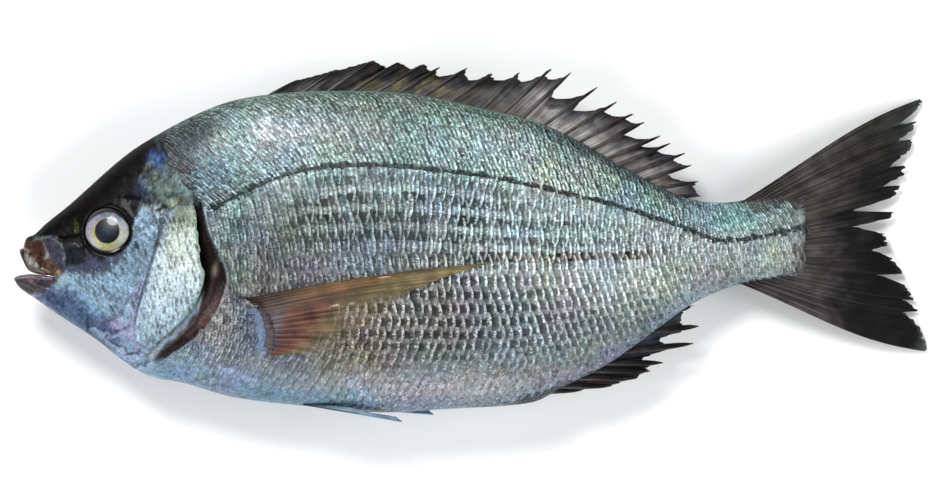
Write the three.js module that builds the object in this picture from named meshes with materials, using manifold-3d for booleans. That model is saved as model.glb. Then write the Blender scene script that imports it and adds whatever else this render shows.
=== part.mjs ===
// Whole sea bream, uncooked and ungutted, lying on its right flank. Millimetres, +Z up.
// The head points to -X, the back to +Y and the left flank to +Z. The origin is the middle of
// the bounding box, on the surface that the fish lies on.

import * as THREE from 'three';
import { mergeVertices } from 'three/addons/utils/BufferGeometryUtils.js';
import Module from 'manifold-3d';

const wasm = await Module();
wasm.setup();

// ---- Driving dimensions ----

const TOTAL_LENGTH = 320; // lower-jaw tip to the tips of the tail fin
const THICKNESS = 37; // flank to flank at the widest place, before it is pressed flat
const PRESSED = 1.2; // how much of the right flank is pressed flat by its own weight
const UNIT = TOTAL_LENGTH / 100; // outlines are in percent of the total length

// ---- Outlines, in percent of the total length from the middle of the bounding box ----

// Profiles of the bare body: [x, y].
const BACK = [
  [-49.1, -1.2], [-48.7, 0.2], [-47.8, 0.7], [-46.5, 1.9], [-43.9, 4.0], [-38.0, 9.2], [-34.0, 11.8],
  [-28.8, 14.4], [-24.9, 15.6], [-18.8, 16.3], [-13.3, 16.4], [-7.8, 16.2], [-3.5, 15.5],
  [0.9, 14.5], [7.4, 12.9], [12.3, 10.6], [16.6, 8.1], [20.9, 5.8], [23.8, 4.6], [27.5, 4.2],
  [31.5, 4.8], [36.5, 5.4],
];
const BELLY = [
  [-49.1, -5.3], [-47.8, -6.2], [-45.2, -8.0], [-41.2, -10.6], [-38.0, -13.1], [-35.3, -14.7],
  [-31.4, -15.5], [-26.2, -17.0], [-18.2, -18.0], [-10.5, -18.7], [-2.4, -18.3], [6.6, -17.6],
  [10.0, -15.9], [14.9, -13.4], [20.1, -9.7], [24.0, -6.9], [28.8, -4.9], [36.5, -3.7],
];
// Half thickness of the body as a share of the widest: [x, share].
const SWELL = [
  [-49.1, 0.05], [-48.6, 0.2], [-47.4, 0.29], [-45.5, 0.38], [-43, 0.47], [-39.8, 0.6], [-35, 0.77],
  [-30, 0.9], [-25, 0.97], [-18, 1], [-12, 1], [-6, 0.975], [0, 0.92], [6, 0.83], [12, 0.7],
  [18, 0.53], [24, 0.36], [29, 0.25], [33, 0.17], [36.5, 0.06],
];
// Height of the mid plane above the surface, as a share of the middle's: the tail hangs a little.
const MID_PLANE = [
  [-50, 0.9], [-38, 0.95], [-20, 1], [0, 1], [12, 0.92], [24, 0.74], [36, 0.5], [50, 0.17],
];
const WIDEST_LINE = 0.48; // where the body is widest, as a share of its depth above the belly
const BACK_CURVE = 0.66; // roundness of the cross-section: 0.5 is an ellipse, 1 a sharp lens
const BELLY_CURVE = 0.54;

// Lower jaw, ahead of the mouth's corner: [x, y] of its two edges and its half thickness.
const JAW_TOP = [[-50, -4.15], [-49.5, -3.85], [-48.2, -3.6], [-45.3, -4.1], [-42, -5.5]];
const JAW_UNDER = [[-50, -4.2], [-49.6, -4.85], [-49, -5.4], [-47.8, -6.2], [-45, -8.1], [-42, -10]];
const JAW_HALF = [[-50, 0.08], [-49.6, 0.6], [-48.6, 1.15], [-47, 1.6], [-45, 2], [-42, 2.3]];
// Side view of the open mouth, between the upper lip and the lower jaw.
const MOUTH = [
  [-52, -0.9], [-49.2, -1.1], [-48.8, -2.2], [-48.2, -3.1], [-46.7, -3.5], [-45.2, -4.0],
  [-46.7, -3.95], [-48.2, -3.6], [-49.4, -3.9], [-52, -3.9],
];

const EYE = { x: -39.8, y: 1.1, radius: 2.56, bulge: 1.3, sunk: 0.5 };

// Edges of the cheek plates and of the gill opening, from the top down: [x, y].
const CHEEK_GROOVE = [[-32.6, 4.6], [-33.4, 2.6], [-34.1, -0.1], [-35.4, -4.3], [-36.9, -9.2]];
const GILL_COVER_EDGE = [[-30.1, 3.9], [-29.6, -1.4], [-29.1, -4.6], [-31.3, -8.4], [-35.2, -11.9]];
const SHOULDER_EDGE = [[-29.3, 3.9], [-27.4, -1.5], [-26.7, -4.7], [-29.1, -9.6], [-33.6, -13.0]];

const LATERAL_LINE = [
  [-28.4, 3.4], [-23.8, 5.7], [-20, 7.2], [-16, 8], [-11, 8.2], [-6.3, 7.9], [0.9, 7.1],
  [7.4, 5.8], [16.4, 3.6], [22.7, 1.6], [26.8, 0.1], [30.4, 0.3], [35.4, 1.3],
];

// Fin rays, front to rear: [root x, tip x, tip y, low point of the web behind the tip x, y].
const DORSAL_RAYS = [
  [-22.9, -19.0, 17.6, -18.4, 17.7], [-20.4, -14.7, 18.7, -14.2, 18.7], [-17.4, -10.8, 19.7, -9.2, 18.9],
  [-14.8, -8.1, 19.5, -6.6, 18.8], [-12.2, -5.2, 19.3, -4.6, 18.5], [-9.6, -3.5, 19, -3.8, 18.0],
  [-6.8, -0.5, 18.9, -0.3, 17.6], [-3.6, 2.2, 18.3, 2.5, 17.6], [0.2, 5.2, 18.4, 5.3, 17.4],
  [2.4, 8.6, 18.8, 8.3, 17.7], [4.5, 10.8, 18.4, 8.8, 15.6], [6.8, 13.7, 16.8, 11.2, 14.3],
  [9.1, 15.8, 15.2, 14.6, 14.0], [10.7, 17.5, 13.9, 17.1, 13.1], [12.2, 18.8, 13, 16.4, 11.7],
  [13.8, 20.6, 11.5, 17.9, 10.5], [15.1, 21.7, 10.7, 19.9, 10.0], [16.4, 23.3, 9.6, 21.8, 9.2],
  [17.7, 24.0, 8.3, 21.4, 7.3], [19.0, 24.7, 6.5, 24.3, 6.0], [20.5, 24.9, 5, 23.4, 4.9],
];
const ANAL_RAYS = [
  [6.4, 12.2, -16.2, 12.9, -16.1], [8.0, 15.3, -15.8, 15.9, -15.6], [9.6, 18.0, -15, 18.4, -14.6],
  [11.2, 19.5, -14.2, 19.0, -13.9], [12.8, 20.9, -13.3, 18.6, -12.8],
  [14.8, 24.2, -11.2, 20.8, -10.7], [18.0, 24.8, -9.3, 22.8, -8.4], [21.2, 23.9, -7.2, 23.5, -6.8],
];
// Frayed rear edge of the tail fin, from the upper lobe's tip down: tips, heels and clefts.
const TAIL_EDGE = [
  [49.6, 15.7], [49.2, 14.7], [46.7, 12.6], [48.9, 13.2], [48.4, 12.2], [46.7, 10.9],
  [48.5, 11.2], [48, 9.8], [45.8, 8.1], [47.7, 8.3], [47.4, 7.2], [45.1, 6.0], [47, 6.1],
  [46.5, 4.9], [41.8, 3.3], [46.4, 3.2], [45.9, 2.5], [42, 1.6], [45.3, 0.8], [45.8, -0.5],
  [44, -0.9], [46.2, -1.9], [47.4, -3.6], [44.7, -3.7], [47.5, -4.8], [48.7, -6.5], [47.4, -6.4],
  [49.2, -7.7], [47.4, -7.8], [48.9, -8.9], [49.8, -10.9], [50, -12.1],
];
const TAIL_ROOTS = [[28.6, 3.8], [28.6, -4.4]]; // the two ends of the rays' roots, in the body
// Pectoral fin, upper edge to lower edge: tips of the rays and the two ends of their roots.
const PECTORAL_TIPS = [
  [2.5, -2.3], [-0.2, -3], [-3.5, -4.1], [-6.5, -5.4], [-9.5, -7], [-12, -8.9], [-14.6, -10.4],
  [-17.4, -11.7], [-20.9, -12.2],
];
const PECTORAL_ROOTS = [[-24.6, -6.1], [-23.2, -10.8]];
// Folded pelvic fin: ends of its rays [x, y, distance from the mid plane], outermost first.
const PELVIC_ROOT = [-18.6, -17.5, 0.9];
const PELVIC_TIPS = [[-7.8, -19.6, 1.2], [-8.6, -19.2, 2.1], [-10.4, -18.6, 3], [-12.4, -17.6, 3.7]];

// ---- Thicknesses and small sizes, in millimetres ----

const RAY_HALF = { root: 1.1, tip: 0.55 };
const WEB_HALF = 0.45;
const FIN_SAG = 2.2; // how far the edge of a spread fin hangs below the mid plane
const GILL_DEPTH = 3.6;
const GILL_COVER_RISE = 1.3;
const GROOVE = { half: 0.6, depth: 0.9 };
const LATERAL_RIDGE = { half: 0.7, rise: 0.5 };
const PECTORAL_RISE = { ray: 1.5, web: 1.0 };
const EMBEDDED = 2; // how far added relief reaches into the body
const CLEAR = 4; // how far a cut reaches out of the body
const SOCKET_GAP = 0.3;

// ---- Mesh density ----

const BODY_STATIONS = 50;
const BODY_SIDES = 26;
const FIN_STEPS = 3;
const PECTORAL_STEPS = 6;
const RELIEF_STEPS = 12;
const EYE_SIDES = 18;

// ---- Curves ----

const { lerp } = THREE.MathUtils;
const mix = (a, b, share) => a.map((value, i) => lerp(value, b[i], share));
const steps = (count) => Array.from({ length: count + 1 }, (_, i) => i / count);

// Smooth value at x through [x, value] pairs: cubic pieces with slopes from the neighbours.
function along(points, x) {
  const last = points.length - 1;
  const at = THREE.MathUtils.clamp(points.findIndex((point) => point[0] > x), 1, last);
  const i = x >= points[last][0] ? last : at;
  const slope = (j) => {
    const before = points[Math.max(j - 1, 0)];
    const after = points[Math.min(j + 1, last)];
    return (after[1] - before[1]) / (after[0] - before[0]);
  };
  const width = points[i][0] - points[i - 1][0];
  const t = THREE.MathUtils.clamp((x - points[i - 1][0]) / width, 0, 1);
  const rise = points[i][1] - points[i - 1][1];
  const start = slope(i - 1) * width - rise;
  const end = rise - slope(i) * width;
  return points[i - 1][1] + t * rise + t * (1 - t) * ((1 - t) * start + t * end);
}

// Points [x, y] at even steps of a smooth curve through the given ones.
function smooth(points, count) {
  const curve = new THREE.CatmullRomCurve3(points.map(([x, y]) => new THREE.Vector3(x, y, 0)), false, 'centripetal');
  return curve.getSpacedPoints(count).map((point) => [point.x, point.y]);
}

// ---- The body's own surface ----

const halfThickness = (x) => (THICKNESS / 2) * along(SWELL, x);
const midPlane = (x) => (THICKNESS / 2 - PRESSED) * along(MID_PLANE, x);

// Height of the flank above the mid plane at x, y in percent, in millimetres.
function flank(x, y) {
  const back = along(BACK, x);
  const belly = along(BELLY, x);
  const widest = lerp(belly, back, WIDEST_LINE);
  const edge = y > widest ? back : belly;
  const share = Math.min(1, Math.abs((y - widest) / (edge - widest)));
  return halfThickness(x) * (1 - share ** 2) ** (y > widest ? BACK_CURVE : BELLY_CURVE);
}

const leftFlank = (x, y) => midPlane(x) + flank(x, y);

// ---- Building blocks ----

function geometry(positions, triangles) {
  const shape = new THREE.BufferGeometry();
  shape.setAttribute('position', new THREE.Float32BufferAttribute(positions.flat(), 3));
  shape.setIndex(triangles.flat());
  return shape;
}

// Turns a closed geometry into a solid, with its faces pointing out.
function solid(shape) {
  const bare = shape.clone();
  bare.deleteAttribute('normal');
  bare.deleteAttribute('uv');
  const { attributes, index } = mergeVertices(bare);
  const corner = (i) => new THREE.Vector3().fromBufferAttribute(attributes.position, index.array[i]);
  let volume = 0;
  for (let i = 0; i < index.count; i += 3) volume += corner(i).dot(corner(i + 1).cross(corner(i + 2)));
  const triVerts = new Uint32Array(index.array);
  if (volume < 0) triVerts.reverse();
  const vertProperties = new Float32Array(attributes.position.array);
  return new wasm.Manifold(new wasm.Mesh({ numProp: 3, vertProperties, triVerts }));
}

function toGeometry(manifold) {
  const { vertProperties, triVerts } = manifold.getMesh();
  const shape = new THREE.BufferGeometry();
  shape.setAttribute('position', new THREE.BufferAttribute(vertProperties, 3));
  shape.setIndex(new THREE.BufferAttribute(triVerts, 1));
  return shape;
}

// The same shape on the right flank: mirrored in the body's mid plane.
function mirrored(shape) {
  const copy = shape.clone();
  const { position } = copy.attributes;
  for (let i = 0; i < position.count; i += 1) {
    position.setZ(i, 2 * midPlane(position.getX(i) / UNIT) - position.getZ(i));
  }
  return copy;
}

const bothSides = (shape) => [solid(shape), solid(mirrored(shape))];

// Closed form with lens-like sections across X. `section(x)` gives its top, bottom and half.
function loft(from, to, stations, section) {
  const positions = [];
  const triangles = [];
  const ring = (i, k) => i * BODY_SIDES + (k % BODY_SIDES);
  for (const share of steps(stations)) {
    const x = lerp(from, to, share ** 1.25);
    const { top, bottom, half } = section(x);
    const widest = lerp(bottom, top, WIDEST_LINE);
    for (let k = 0; k < BODY_SIDES; k += 1) {
      const angle = (2 * Math.PI * k) / BODY_SIDES;
      const up = Math.sin(angle);
      const out = Math.cos(angle);
      const curve = up > 0 ? BACK_CURVE : BELLY_CURVE;
      const y = widest + up * (up > 0 ? top - widest : widest - bottom);
      const z = midPlane(x) + Math.sign(out) * half * Math.abs(out) ** (2 * curve);
      positions.push([x * UNIT, y * UNIT, z]);
    }
  }
  for (let i = 0; i < stations; i += 1) {
    for (let k = 0; k < BODY_SIDES; k += 1) {
      triangles.push([ring(i, k), ring(i, k + 1), ring(i + 1, k + 1)]);
      triangles.push([ring(i, k), ring(i + 1, k + 1), ring(i + 1, k)]);
    }
  }
  for (let k = 1; k < BODY_SIDES - 1; k += 1) {
    triangles.push([ring(0, 0), ring(0, k + 1), ring(0, k)]);
    triangles.push([ring(stations, 0), ring(stations, k), ring(stations, k + 1)]);
  }
  return geometry(positions, triangles);
}

// Closed plate over a grid of points { x, y, z, up, down }: x and y in percent, the rest in
// millimetres. It reaches up and down from each point along the axis, which is 'y' or 'z'.
function plate(grid, axis = 'z') {
  const columns = grid.length;
  const rows = grid[0].length;
  const positions = [];
  for (const side of [1, -1]) {
    for (const { x, y, z, up, down } of grid.flat()) {
      const shift = side > 0 ? up : -down;
      positions.push([x * UNIT, y * UNIT + (axis === 'y' ? shift : 0), z + (axis === 'z' ? shift : 0)]);
    }
  }
  const upper = (i, j) => i * rows + j;
  const lower = (i, j) => columns * rows + i * rows + j;
  const triangles = [];
  const quad = (a, b, c, d) => triangles.push([a, b, c], [a, c, d]);
  for (let i = 0; i + 1 < columns; i += 1) {
    for (let j = 0; j + 1 < rows; j += 1) {
      quad(upper(i, j), upper(i + 1, j), upper(i + 1, j + 1), upper(i, j + 1));
      quad(lower(i, j), lower(i, j + 1), lower(i + 1, j + 1), lower(i + 1, j));
    }
    quad(upper(i, 0), lower(i, 0), lower(i + 1, 0), upper(i + 1, 0));
    quad(upper(i, rows - 1), upper(i + 1, rows - 1), lower(i + 1, rows - 1), lower(i, rows - 1));
  }
  for (let j = 0; j + 1 < rows; j += 1) {
    quad(upper(0, j), upper(0, j + 1), lower(0, j + 1), lower(0, j));
    quad(upper(columns - 1, j), lower(columns - 1, j), lower(columns - 1, j + 1), upper(columns - 1, j + 1));
  }
  return geometry(positions, triangles);
}

// ---- Sub-parts ----

function trunk() {
  const section = (x) => ({ top: along(BACK, x), bottom: along(BELLY, x), half: halfThickness(x) });
  return solid(loft(BACK[0][0], BACK.at(-1)[0], BODY_STATIONS, section));
}

function lowerJaw() {
  const section = (x) => ({
    top: along(JAW_TOP, x), bottom: along(JAW_UNDER, x), half: along(JAW_HALF, x) * UNIT,
  });
  return solid(loft(JAW_TOP[0][0], JAW_TOP.at(-1)[0], RELIEF_STEPS, section));
}

function mouthGap() {
  const outline = new THREE.Shape(MOUTH.map(([x, y]) => new THREE.Vector2(x * UNIT, y * UNIT)));
  return solid(new THREE.ExtrudeGeometry(outline, { depth: THICKNESS, bevelEnabled: false }));
}

// Spread fin in the mid plane. Each column of the grid runs from a root to the fin's edge.
function spreadFin(columns) {
  return solid(plate(columns.map(({ root, end, ray }) => steps(FIN_STEPS).map((share) => {
    const [x, y] = mix(root, end, share);
    const half = ray ? lerp(RAY_HALF.root, RAY_HALF.tip, share) : WEB_HALF;
    return { x, y, z: midPlane(x) - FIN_SAG * share ** 2, up: half, down: half };
  }))));
}

// Columns of a fin along the back or belly: a ray, then the low point of the web behind it.
function rayColumns(rays, contour, inward) {
  const rootAt = (x) => [x, along(contour, x) - inward];
  return rays.flatMap(([rootX, tipX, tipY, webX, webY], i) => {
    const nextX = i + 1 < rays.length ? rays[i + 1][0] : rootX + 1;
    return [
      { root: rootAt(rootX), end: [tipX, tipY], ray: true },
      { root: rootAt(lerp(rootX, nextX, 0.4)), end: [webX, webY], ray: false },
    ];
  });
}

function tailFin() {
  const last = TAIL_EDGE.length - 1;
  return spreadFin(TAIL_EDGE.map((end, i) => ({
    root: mix(TAIL_ROOTS[0], TAIL_ROOTS[1], i / last), end, ray: i % 3 !== 2 || i === 0 || i === last,
  })));
}

// Pectoral fin, folded back along the flank.
function pectoralFin() {
  const last = PECTORAL_TIPS.length - 1;
  const lines = PECTORAL_TIPS.flatMap((tip, i) => {
    const next = PECTORAL_TIPS[Math.min(i + 1, last)];
    const ray = { tip, at: i / last, rise: PECTORAL_RISE.ray };
    const web = { tip: mix(tip, next, 0.5), at: (i + 0.5) / last, rise: PECTORAL_RISE.web };
    return i < last ? [ray, web] : [ray];
  });
  return plate(lines.map(({ tip, at, rise }) => steps(PECTORAL_STEPS).map((share) => {
    const [x, y] = mix(mix(PECTORAL_ROOTS[0], PECTORAL_ROOTS[1], at), tip, share);
    return { x, y, z: leftFlank(x, y), up: lerp(rise, rise * 0.7, share), down: EMBEDDED };
  })));
}

// Pelvic fin, folded along the belly beside its fellow.
function pelvicFin() {
  return plate(PELVIC_TIPS.map((tip) => steps(FIN_STEPS).map((share) => {
    const [x, y, out] = mix(PELVIC_ROOT, tip, share);
    return { x, y, z: midPlane(x) + out * UNIT, up: EMBEDDED * (1 - share) + WEB_HALF, down: WEB_HALF };
  })), 'y');
}

// Plate or cut between two lines on the flank, with a thickness above and below the skin.
function between(front, rear, reach) {
  const edge = smooth(rear, RELIEF_STEPS);
  return plate(smooth(front, RELIEF_STEPS).map((start, i) => steps(4).map((share) => {
    const [x, y] = mix(start, edge[i], share);
    return { x, y, z: leftFlank(x, y), ...reach(share, i / RELIEF_STEPS) };
  })));
}

const gillCover = () => between(CHEEK_GROOVE, GILL_COVER_EDGE, (share) => (
  { up: GILL_COVER_RISE * share, down: EMBEDDED }
));

const gillOpening = () => between(GILL_COVER_EDGE, SHOULDER_EDGE, () => (
  { up: CLEAR, down: GILL_DEPTH }
));

// Band along a line on the flank, with a thickness above and below the skin.
function band(line, half, up, down) {
  const path = smooth(line, 2 * RELIEF_STEPS);
  return plate(path.map(([x, y], i) => {
    const before = path[Math.max(i - 1, 0)];
    const after = path[Math.min(i + 1, path.length - 1)];
    const across = new THREE.Vector2(before[1] - after[1], after[0] - before[0]).setLength(half / UNIT);
    return [-1, 0, 1].map((side) => {
      const [px, py] = [x + side * across.x, y + side * across.y];
      return { x: px, y: py, z: leftFlank(px, py), up, down };
    });
  }));
}

// A flattened ball for the left eye, facing along the normal of the cheek, or its socket.
function eyeBall(gap) {
  const { x, y, radius, bulge, sunk } = EYE;
  const slopeX = (leftFlank(x + 1, y) - leftFlank(x - 1, y)) / (2 * UNIT);
  const slopeY = (leftFlank(x, y + 1) - leftFlank(x, y - 1)) / (2 * UNIT);
  const normal = new THREE.Vector3(-slopeX, -slopeY, 1).normalize();
  const up = new THREE.Vector3(0, 0, 1);
  const ball = new THREE.SphereGeometry(1, EYE_SIDES, EYE_SIDES / 2).rotateX(Math.PI / 2);
  ball.scale(radius * UNIT + gap, radius * UNIT + gap, bulge * UNIT + gap);
  ball.applyQuaternion(new THREE.Quaternion().setFromUnitVectors(up, normal));
  return ball.translate(x * UNIT, y * UNIT, leftFlank(x, y) - sunk * UNIT);
}

// Everything below the surface that the fish lies on, and room to spare round it.
function underSurface() {
  return solid(new THREE.BoxGeometry(2 * TOTAL_LENGTH, TOTAL_LENGTH, THICKNESS)
    .translate(0, 0, -THICKNESS / 2));
}

// ---- Assembly ----

function fishBody() {
  const added = [
    lowerJaw(),
    ...bothSides(gillCover()),
    ...bothSides(band(LATERAL_LINE, LATERAL_RIDGE.half, LATERAL_RIDGE.rise, EMBEDDED)),
    spreadFin(rayColumns(DORSAL_RAYS, BACK, 1.2)),
    spreadFin(rayColumns(ANAL_RAYS, BELLY, -1.2)),
    tailFin(),
    ...bothSides(pectoralFin()),
    ...bothSides(pelvicFin()),
  ];
  const cut = [
    ...bothSides(gillOpening()),
    ...bothSides(band(CHEEK_GROOVE, GROOVE.half, CLEAR, GROOVE.depth)),
    ...bothSides(eyeBall(SOCKET_GAP)),
    underSurface(),
  ];
  const whole = added.reduce((body, piece) => body.add(piece), trunk().subtract(mouthGap()));
  return cut.reduce((body, piece) => body.subtract(piece), whole);
}

function node(name, shape, colour, roughness, metalness = 0) {
  const mesh = new THREE.Mesh(shape, new THREE.MeshStandardMaterial({ color: colour, roughness, metalness }));
  mesh.name = name;
  return mesh;
}

const group = new THREE.Group();
group.add(node('fish', toGeometry(fishBody()), '#7d8c88', 0.35));
group.add(node('eye_left', toGeometry(solid(eyeBall(0))), '#b9bfb4', 0.08));
group.add(node('eye_right', toGeometry(solid(mirrored(eyeBall(0)))), '#b9bfb4', 0.08));

export default group;
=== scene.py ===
"""A whole sea bream, uncooked, lying on its right flank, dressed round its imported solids.

The head points to -X, the back to +Y and the left flank up. Outlines are in percent of the
fish's total length, from the middle of its box; small sizes are in millimetres.
"""

import math

import bmesh
import bpy
import numpy as np
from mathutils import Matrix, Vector


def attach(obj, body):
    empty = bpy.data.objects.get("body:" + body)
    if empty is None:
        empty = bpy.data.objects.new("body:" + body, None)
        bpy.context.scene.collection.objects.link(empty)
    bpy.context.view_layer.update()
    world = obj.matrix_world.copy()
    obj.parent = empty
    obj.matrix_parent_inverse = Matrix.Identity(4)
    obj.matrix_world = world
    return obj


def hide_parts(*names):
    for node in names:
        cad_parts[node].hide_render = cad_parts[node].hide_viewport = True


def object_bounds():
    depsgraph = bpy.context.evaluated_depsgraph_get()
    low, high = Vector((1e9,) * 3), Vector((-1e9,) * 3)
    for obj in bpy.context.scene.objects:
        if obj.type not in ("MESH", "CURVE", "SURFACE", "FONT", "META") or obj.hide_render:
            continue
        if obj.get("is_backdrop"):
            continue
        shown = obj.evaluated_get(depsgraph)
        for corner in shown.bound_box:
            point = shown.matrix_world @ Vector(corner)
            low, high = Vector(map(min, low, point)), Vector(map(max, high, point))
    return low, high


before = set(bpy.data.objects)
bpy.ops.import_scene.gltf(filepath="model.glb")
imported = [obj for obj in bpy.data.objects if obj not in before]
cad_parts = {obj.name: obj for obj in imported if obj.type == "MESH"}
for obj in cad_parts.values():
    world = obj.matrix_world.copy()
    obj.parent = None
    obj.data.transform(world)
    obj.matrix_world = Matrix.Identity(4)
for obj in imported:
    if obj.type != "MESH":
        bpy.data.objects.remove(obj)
CAD_BOX = [list(corner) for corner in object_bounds()]

bl_info = {
    "name": "Whole sea bream",
    "version": (1, 0, 0),
    "blender": (4, 5, 0),
    "location": "View3D > Sidebar > Bream",
    "description": "Skin, scales, fins, eyes, gills and mouth of a whole sea bream",
    "category": "Add Mesh",
}

MM = 0.001
UNIT = (CAD_BOX[1][0] - CAD_BOX[0][0]) / 100  # one percent of the total length, in metres
UNIT_MM = UNIT / MM
BODY = "root"
NODE_FISH, NODE_EYES = "fish", {"left": "eye_left", "right": "eye_right"}
SIDES = {"left": 1, "right": -1}
SEED = 7
PHOTO_WIDTH, PHOTO_LENGTH = 945, 916.3  # the picture's width and the fish's length in it, in pixels
HEAD_END = -21.5  # where the forms of the head and of the side fin's root end, in percent
ROUND_FROM = 0.84  # share of the depth past which scales bend round the back and belly

# ---- Outlines of the solids, in percent of the total length ----

BACK = [
    (-49.1, -1.2), (-48.7, 0.2), (-47.8, 0.7), (-46.5, 1.9), (-43.9, 4.0), (-38.0, 9.2), (-34.0, 11.8),
    (-28.8, 14.4), (-24.9, 15.6), (-18.8, 16.3), (-13.3, 16.4), (-7.8, 16.2), (-3.5, 15.5),
    (0.9, 14.5), (7.4, 12.9), (12.3, 10.6), (16.6, 8.1), (20.9, 5.8), (23.8, 4.6), (27.5, 4.2),
    (31.5, 4.8), (36.5, 5.4),
]
BELLY = [
    (-49.1, -5.3), (-47.8, -6.2), (-45.2, -8.0), (-41.2, -10.6), (-38.0, -13.1), (-35.3, -14.7),
    (-31.4, -15.5), (-26.2, -17.0), (-18.2, -18.0), (-10.5, -18.7), (-2.4, -18.3), (6.6, -17.6),
    (10.0, -15.9), (14.9, -13.4), (20.1, -9.7), (24.0, -6.9), (28.8, -4.9), (36.5, -3.7),
]
SWELL = [
    (-49.1, 0.05), (-48.6, 0.2), (-47.4, 0.29), (-45.5, 0.38), (-43, 0.47), (-39.8, 0.6), (-35, 0.77),
    (-30, 0.9), (-25, 0.97), (-18, 1), (-12, 1), (-6, 0.975), (0, 0.92), (6, 0.83), (12, 0.7),
    (18, 0.53), (24, 0.36), (29, 0.25), (33, 0.16), (36.5, 0.015),
]
MID_PLANE = [
    (-50, 0.9), (-38, 0.95), (-20, 1), (0, 1), (12, 0.92), (24, 0.74), (36, 0.5), (50, 0.17),
]
WIDEST_LINE = 0.48
BACK_CURVE, BELLY_CURVE = 0.66, 0.54
JAW_TOP = [(-50, -4.15), (-49.5, -3.85), (-48.2, -3.6), (-45.3, -4.1), (-42, -5.5)]
JAW_UNDER = [(-50, -4.2), (-49.6, -4.85), (-49, -5.4), (-47.8, -6.2), (-45, -8.1), (-42, -10)]
JAW_HALF = [(-50, 0.08), (-49.6, 0.6), (-48.6, 1.15), (-47, 1.6), (-45, 2), (-42, 2.3)]
MOUTH = [
    (-52, -0.9), (-49.2, -1.1), (-48.8, -2.2), (-48.2, -3.1), (-46.7, -3.5), (-45.2, -4.0),
    (-46.7, -3.95), (-48.2, -3.6), (-49.4, -3.9), (-52, -3.9),
]
GILL_COVER_EDGE = [(-30.1, 3.9), (-29.6, -1.4), (-29.1, -4.6), (-31.3, -8.4), (-35.2, -11.9)]
SHOULDER_EDGE = [(-29.3, 3.9), (-28.4, 0.5), (-27.2, -1.8), (-26.7, -4.7), (-29.1, -9.6), (-33.6, -13.0)]
LATERAL_LINE = [
    (-28.4, 3.4), (-23.8, 5.7), (-20, 7.2), (-16, 8), (-11, 8.2), (-6.3, 7.9), (0.9, 7.1),
    (7.4, 5.8), (16.4, 3.6), (22.7, 1.6), (26.8, 0.1), (30.4, 0.3), (35.4, 1.3),
]
DORSAL_RAYS = [
    (-24.6, -19.0, 17.6, -18.4, 17.7), (-20.4, -14.7, 18.7, -14.2, 18.7),
    (-17.4, -10.8, 19.7, -9.2, 18.9), (-14.8, -8.1, 19.5, -6.6, 18.8),
    (-12.2, -5.2, 19.3, -4.6, 18.5), (-9.6, -3.5, 19, -3.8, 18.0),
    (-6.8, -0.5, 18.9, -0.3, 17.6), (-3.6, 2.2, 18.3, 2.5, 17.6), (0.2, 5.2, 18.4, 5.3, 17.4),
    (2.4, 8.6, 18.8, 8.3, 17.7), (4.5, 10.8, 18.4, 8.8, 15.6), (6.8, 13.7, 16.8, 11.2, 14.3),
    (9.1, 15.8, 15.2, 14.6, 14.0), (10.7, 17.5, 13.9, 17.1, 13.1), (12.2, 18.8, 13, 16.4, 11.7),
    (13.8, 20.6, 11.5, 17.9, 10.5), (15.1, 21.7, 10.7, 19.9, 10.0), (16.4, 23.3, 9.6, 21.8, 9.2),
    (17.7, 24.0, 8.3, 21.4, 7.3), (19.0, 24.7, 6.5, 24.3, 6.0), (20.5, 24.9, 5, 23.4, 4.9),
]
ANAL_RAYS = [
    (6.4, 12.2, -16.2, 12.9, -16.1), (8.0, 15.3, -15.8, 15.9, -15.6), (9.6, 18.0, -15, 18.4, -14.6),
    (11.2, 19.5, -14.2, 19.0, -13.9), (12.8, 20.9, -13.3, 18.6, -12.8),
    (14.8, 24.2, -11.2, 20.8, -10.7), (18.0, 24.8, -9.3, 22.8, -8.4), (21.2, 23.9, -7.2, 23.5, -6.8),
]
TAIL_EDGE = [
    (49.6, 15.7), (49.2, 14.7), (46.7, 12.6), (48.9, 13.2), (48.4, 12.2), (46.7, 10.9),
    (48.5, 11.2), (48, 9.8), (45.8, 8.1), (47.7, 8.3), (47.4, 7.2), (45.1, 6.0), (47, 6.1),
    (46.5, 4.9), (41.8, 3.3), (46.4, 3.2), (45.9, 2.5), (42, 1.6), (45.3, 0.8), (45.8, -0.5),
    (44, -0.9), (46.2, -1.9), (47.4, -3.6), (44.7, -3.7), (47.5, -4.8), (48.7, -6.5), (47.4, -6.4),
    (49.2, -7.7), (47.4, -7.8), (48.9, -8.9), (49.8, -10.9), (50, -12.1),
]
TAIL_ROOTS = [(28.6, 3.8), (28.6, -4.4)]
PECTORAL_TIPS = [
    (2.5, -2.3), (-0.2, -3), (-3.5, -4.1), (-6.5, -5.4), (-9.3, -7), (-11.6, -8.9), (-13.6, -10.8),
    (-16.2, -12.1), (-20.4, -12.4),
]
PECTORAL_ROOTS = [(-24.7, -6.2), (-23.7, -6.9), (-22.9, -8.0), (-22.4, -9.8), (-22.2, -12.2)]
LOBE_EDGE = [(-13.2, -22.9), (-12.2, -22.3), (-10.6, -22.0), (-9.0, -22.1), (-7.3, -23.1), (-6.2, -24.6)]
PELVIC_ROOT = (-18.4, -17.75, 0.9)
PELVIC_TIPS = [(-7.6, -19.7, 0.9), (-8.3, -19.15, 1.2), (-10.4, -18.9, 1.7), (-13.0, -18.2, 2.3)]
PELVIC_STAGGER = {"left": (0, 0), "right": (3.4, 0.75)}  # the far fin's tip shows behind the near one

# ---- Rows of scales, in percent of the total length ----

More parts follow.
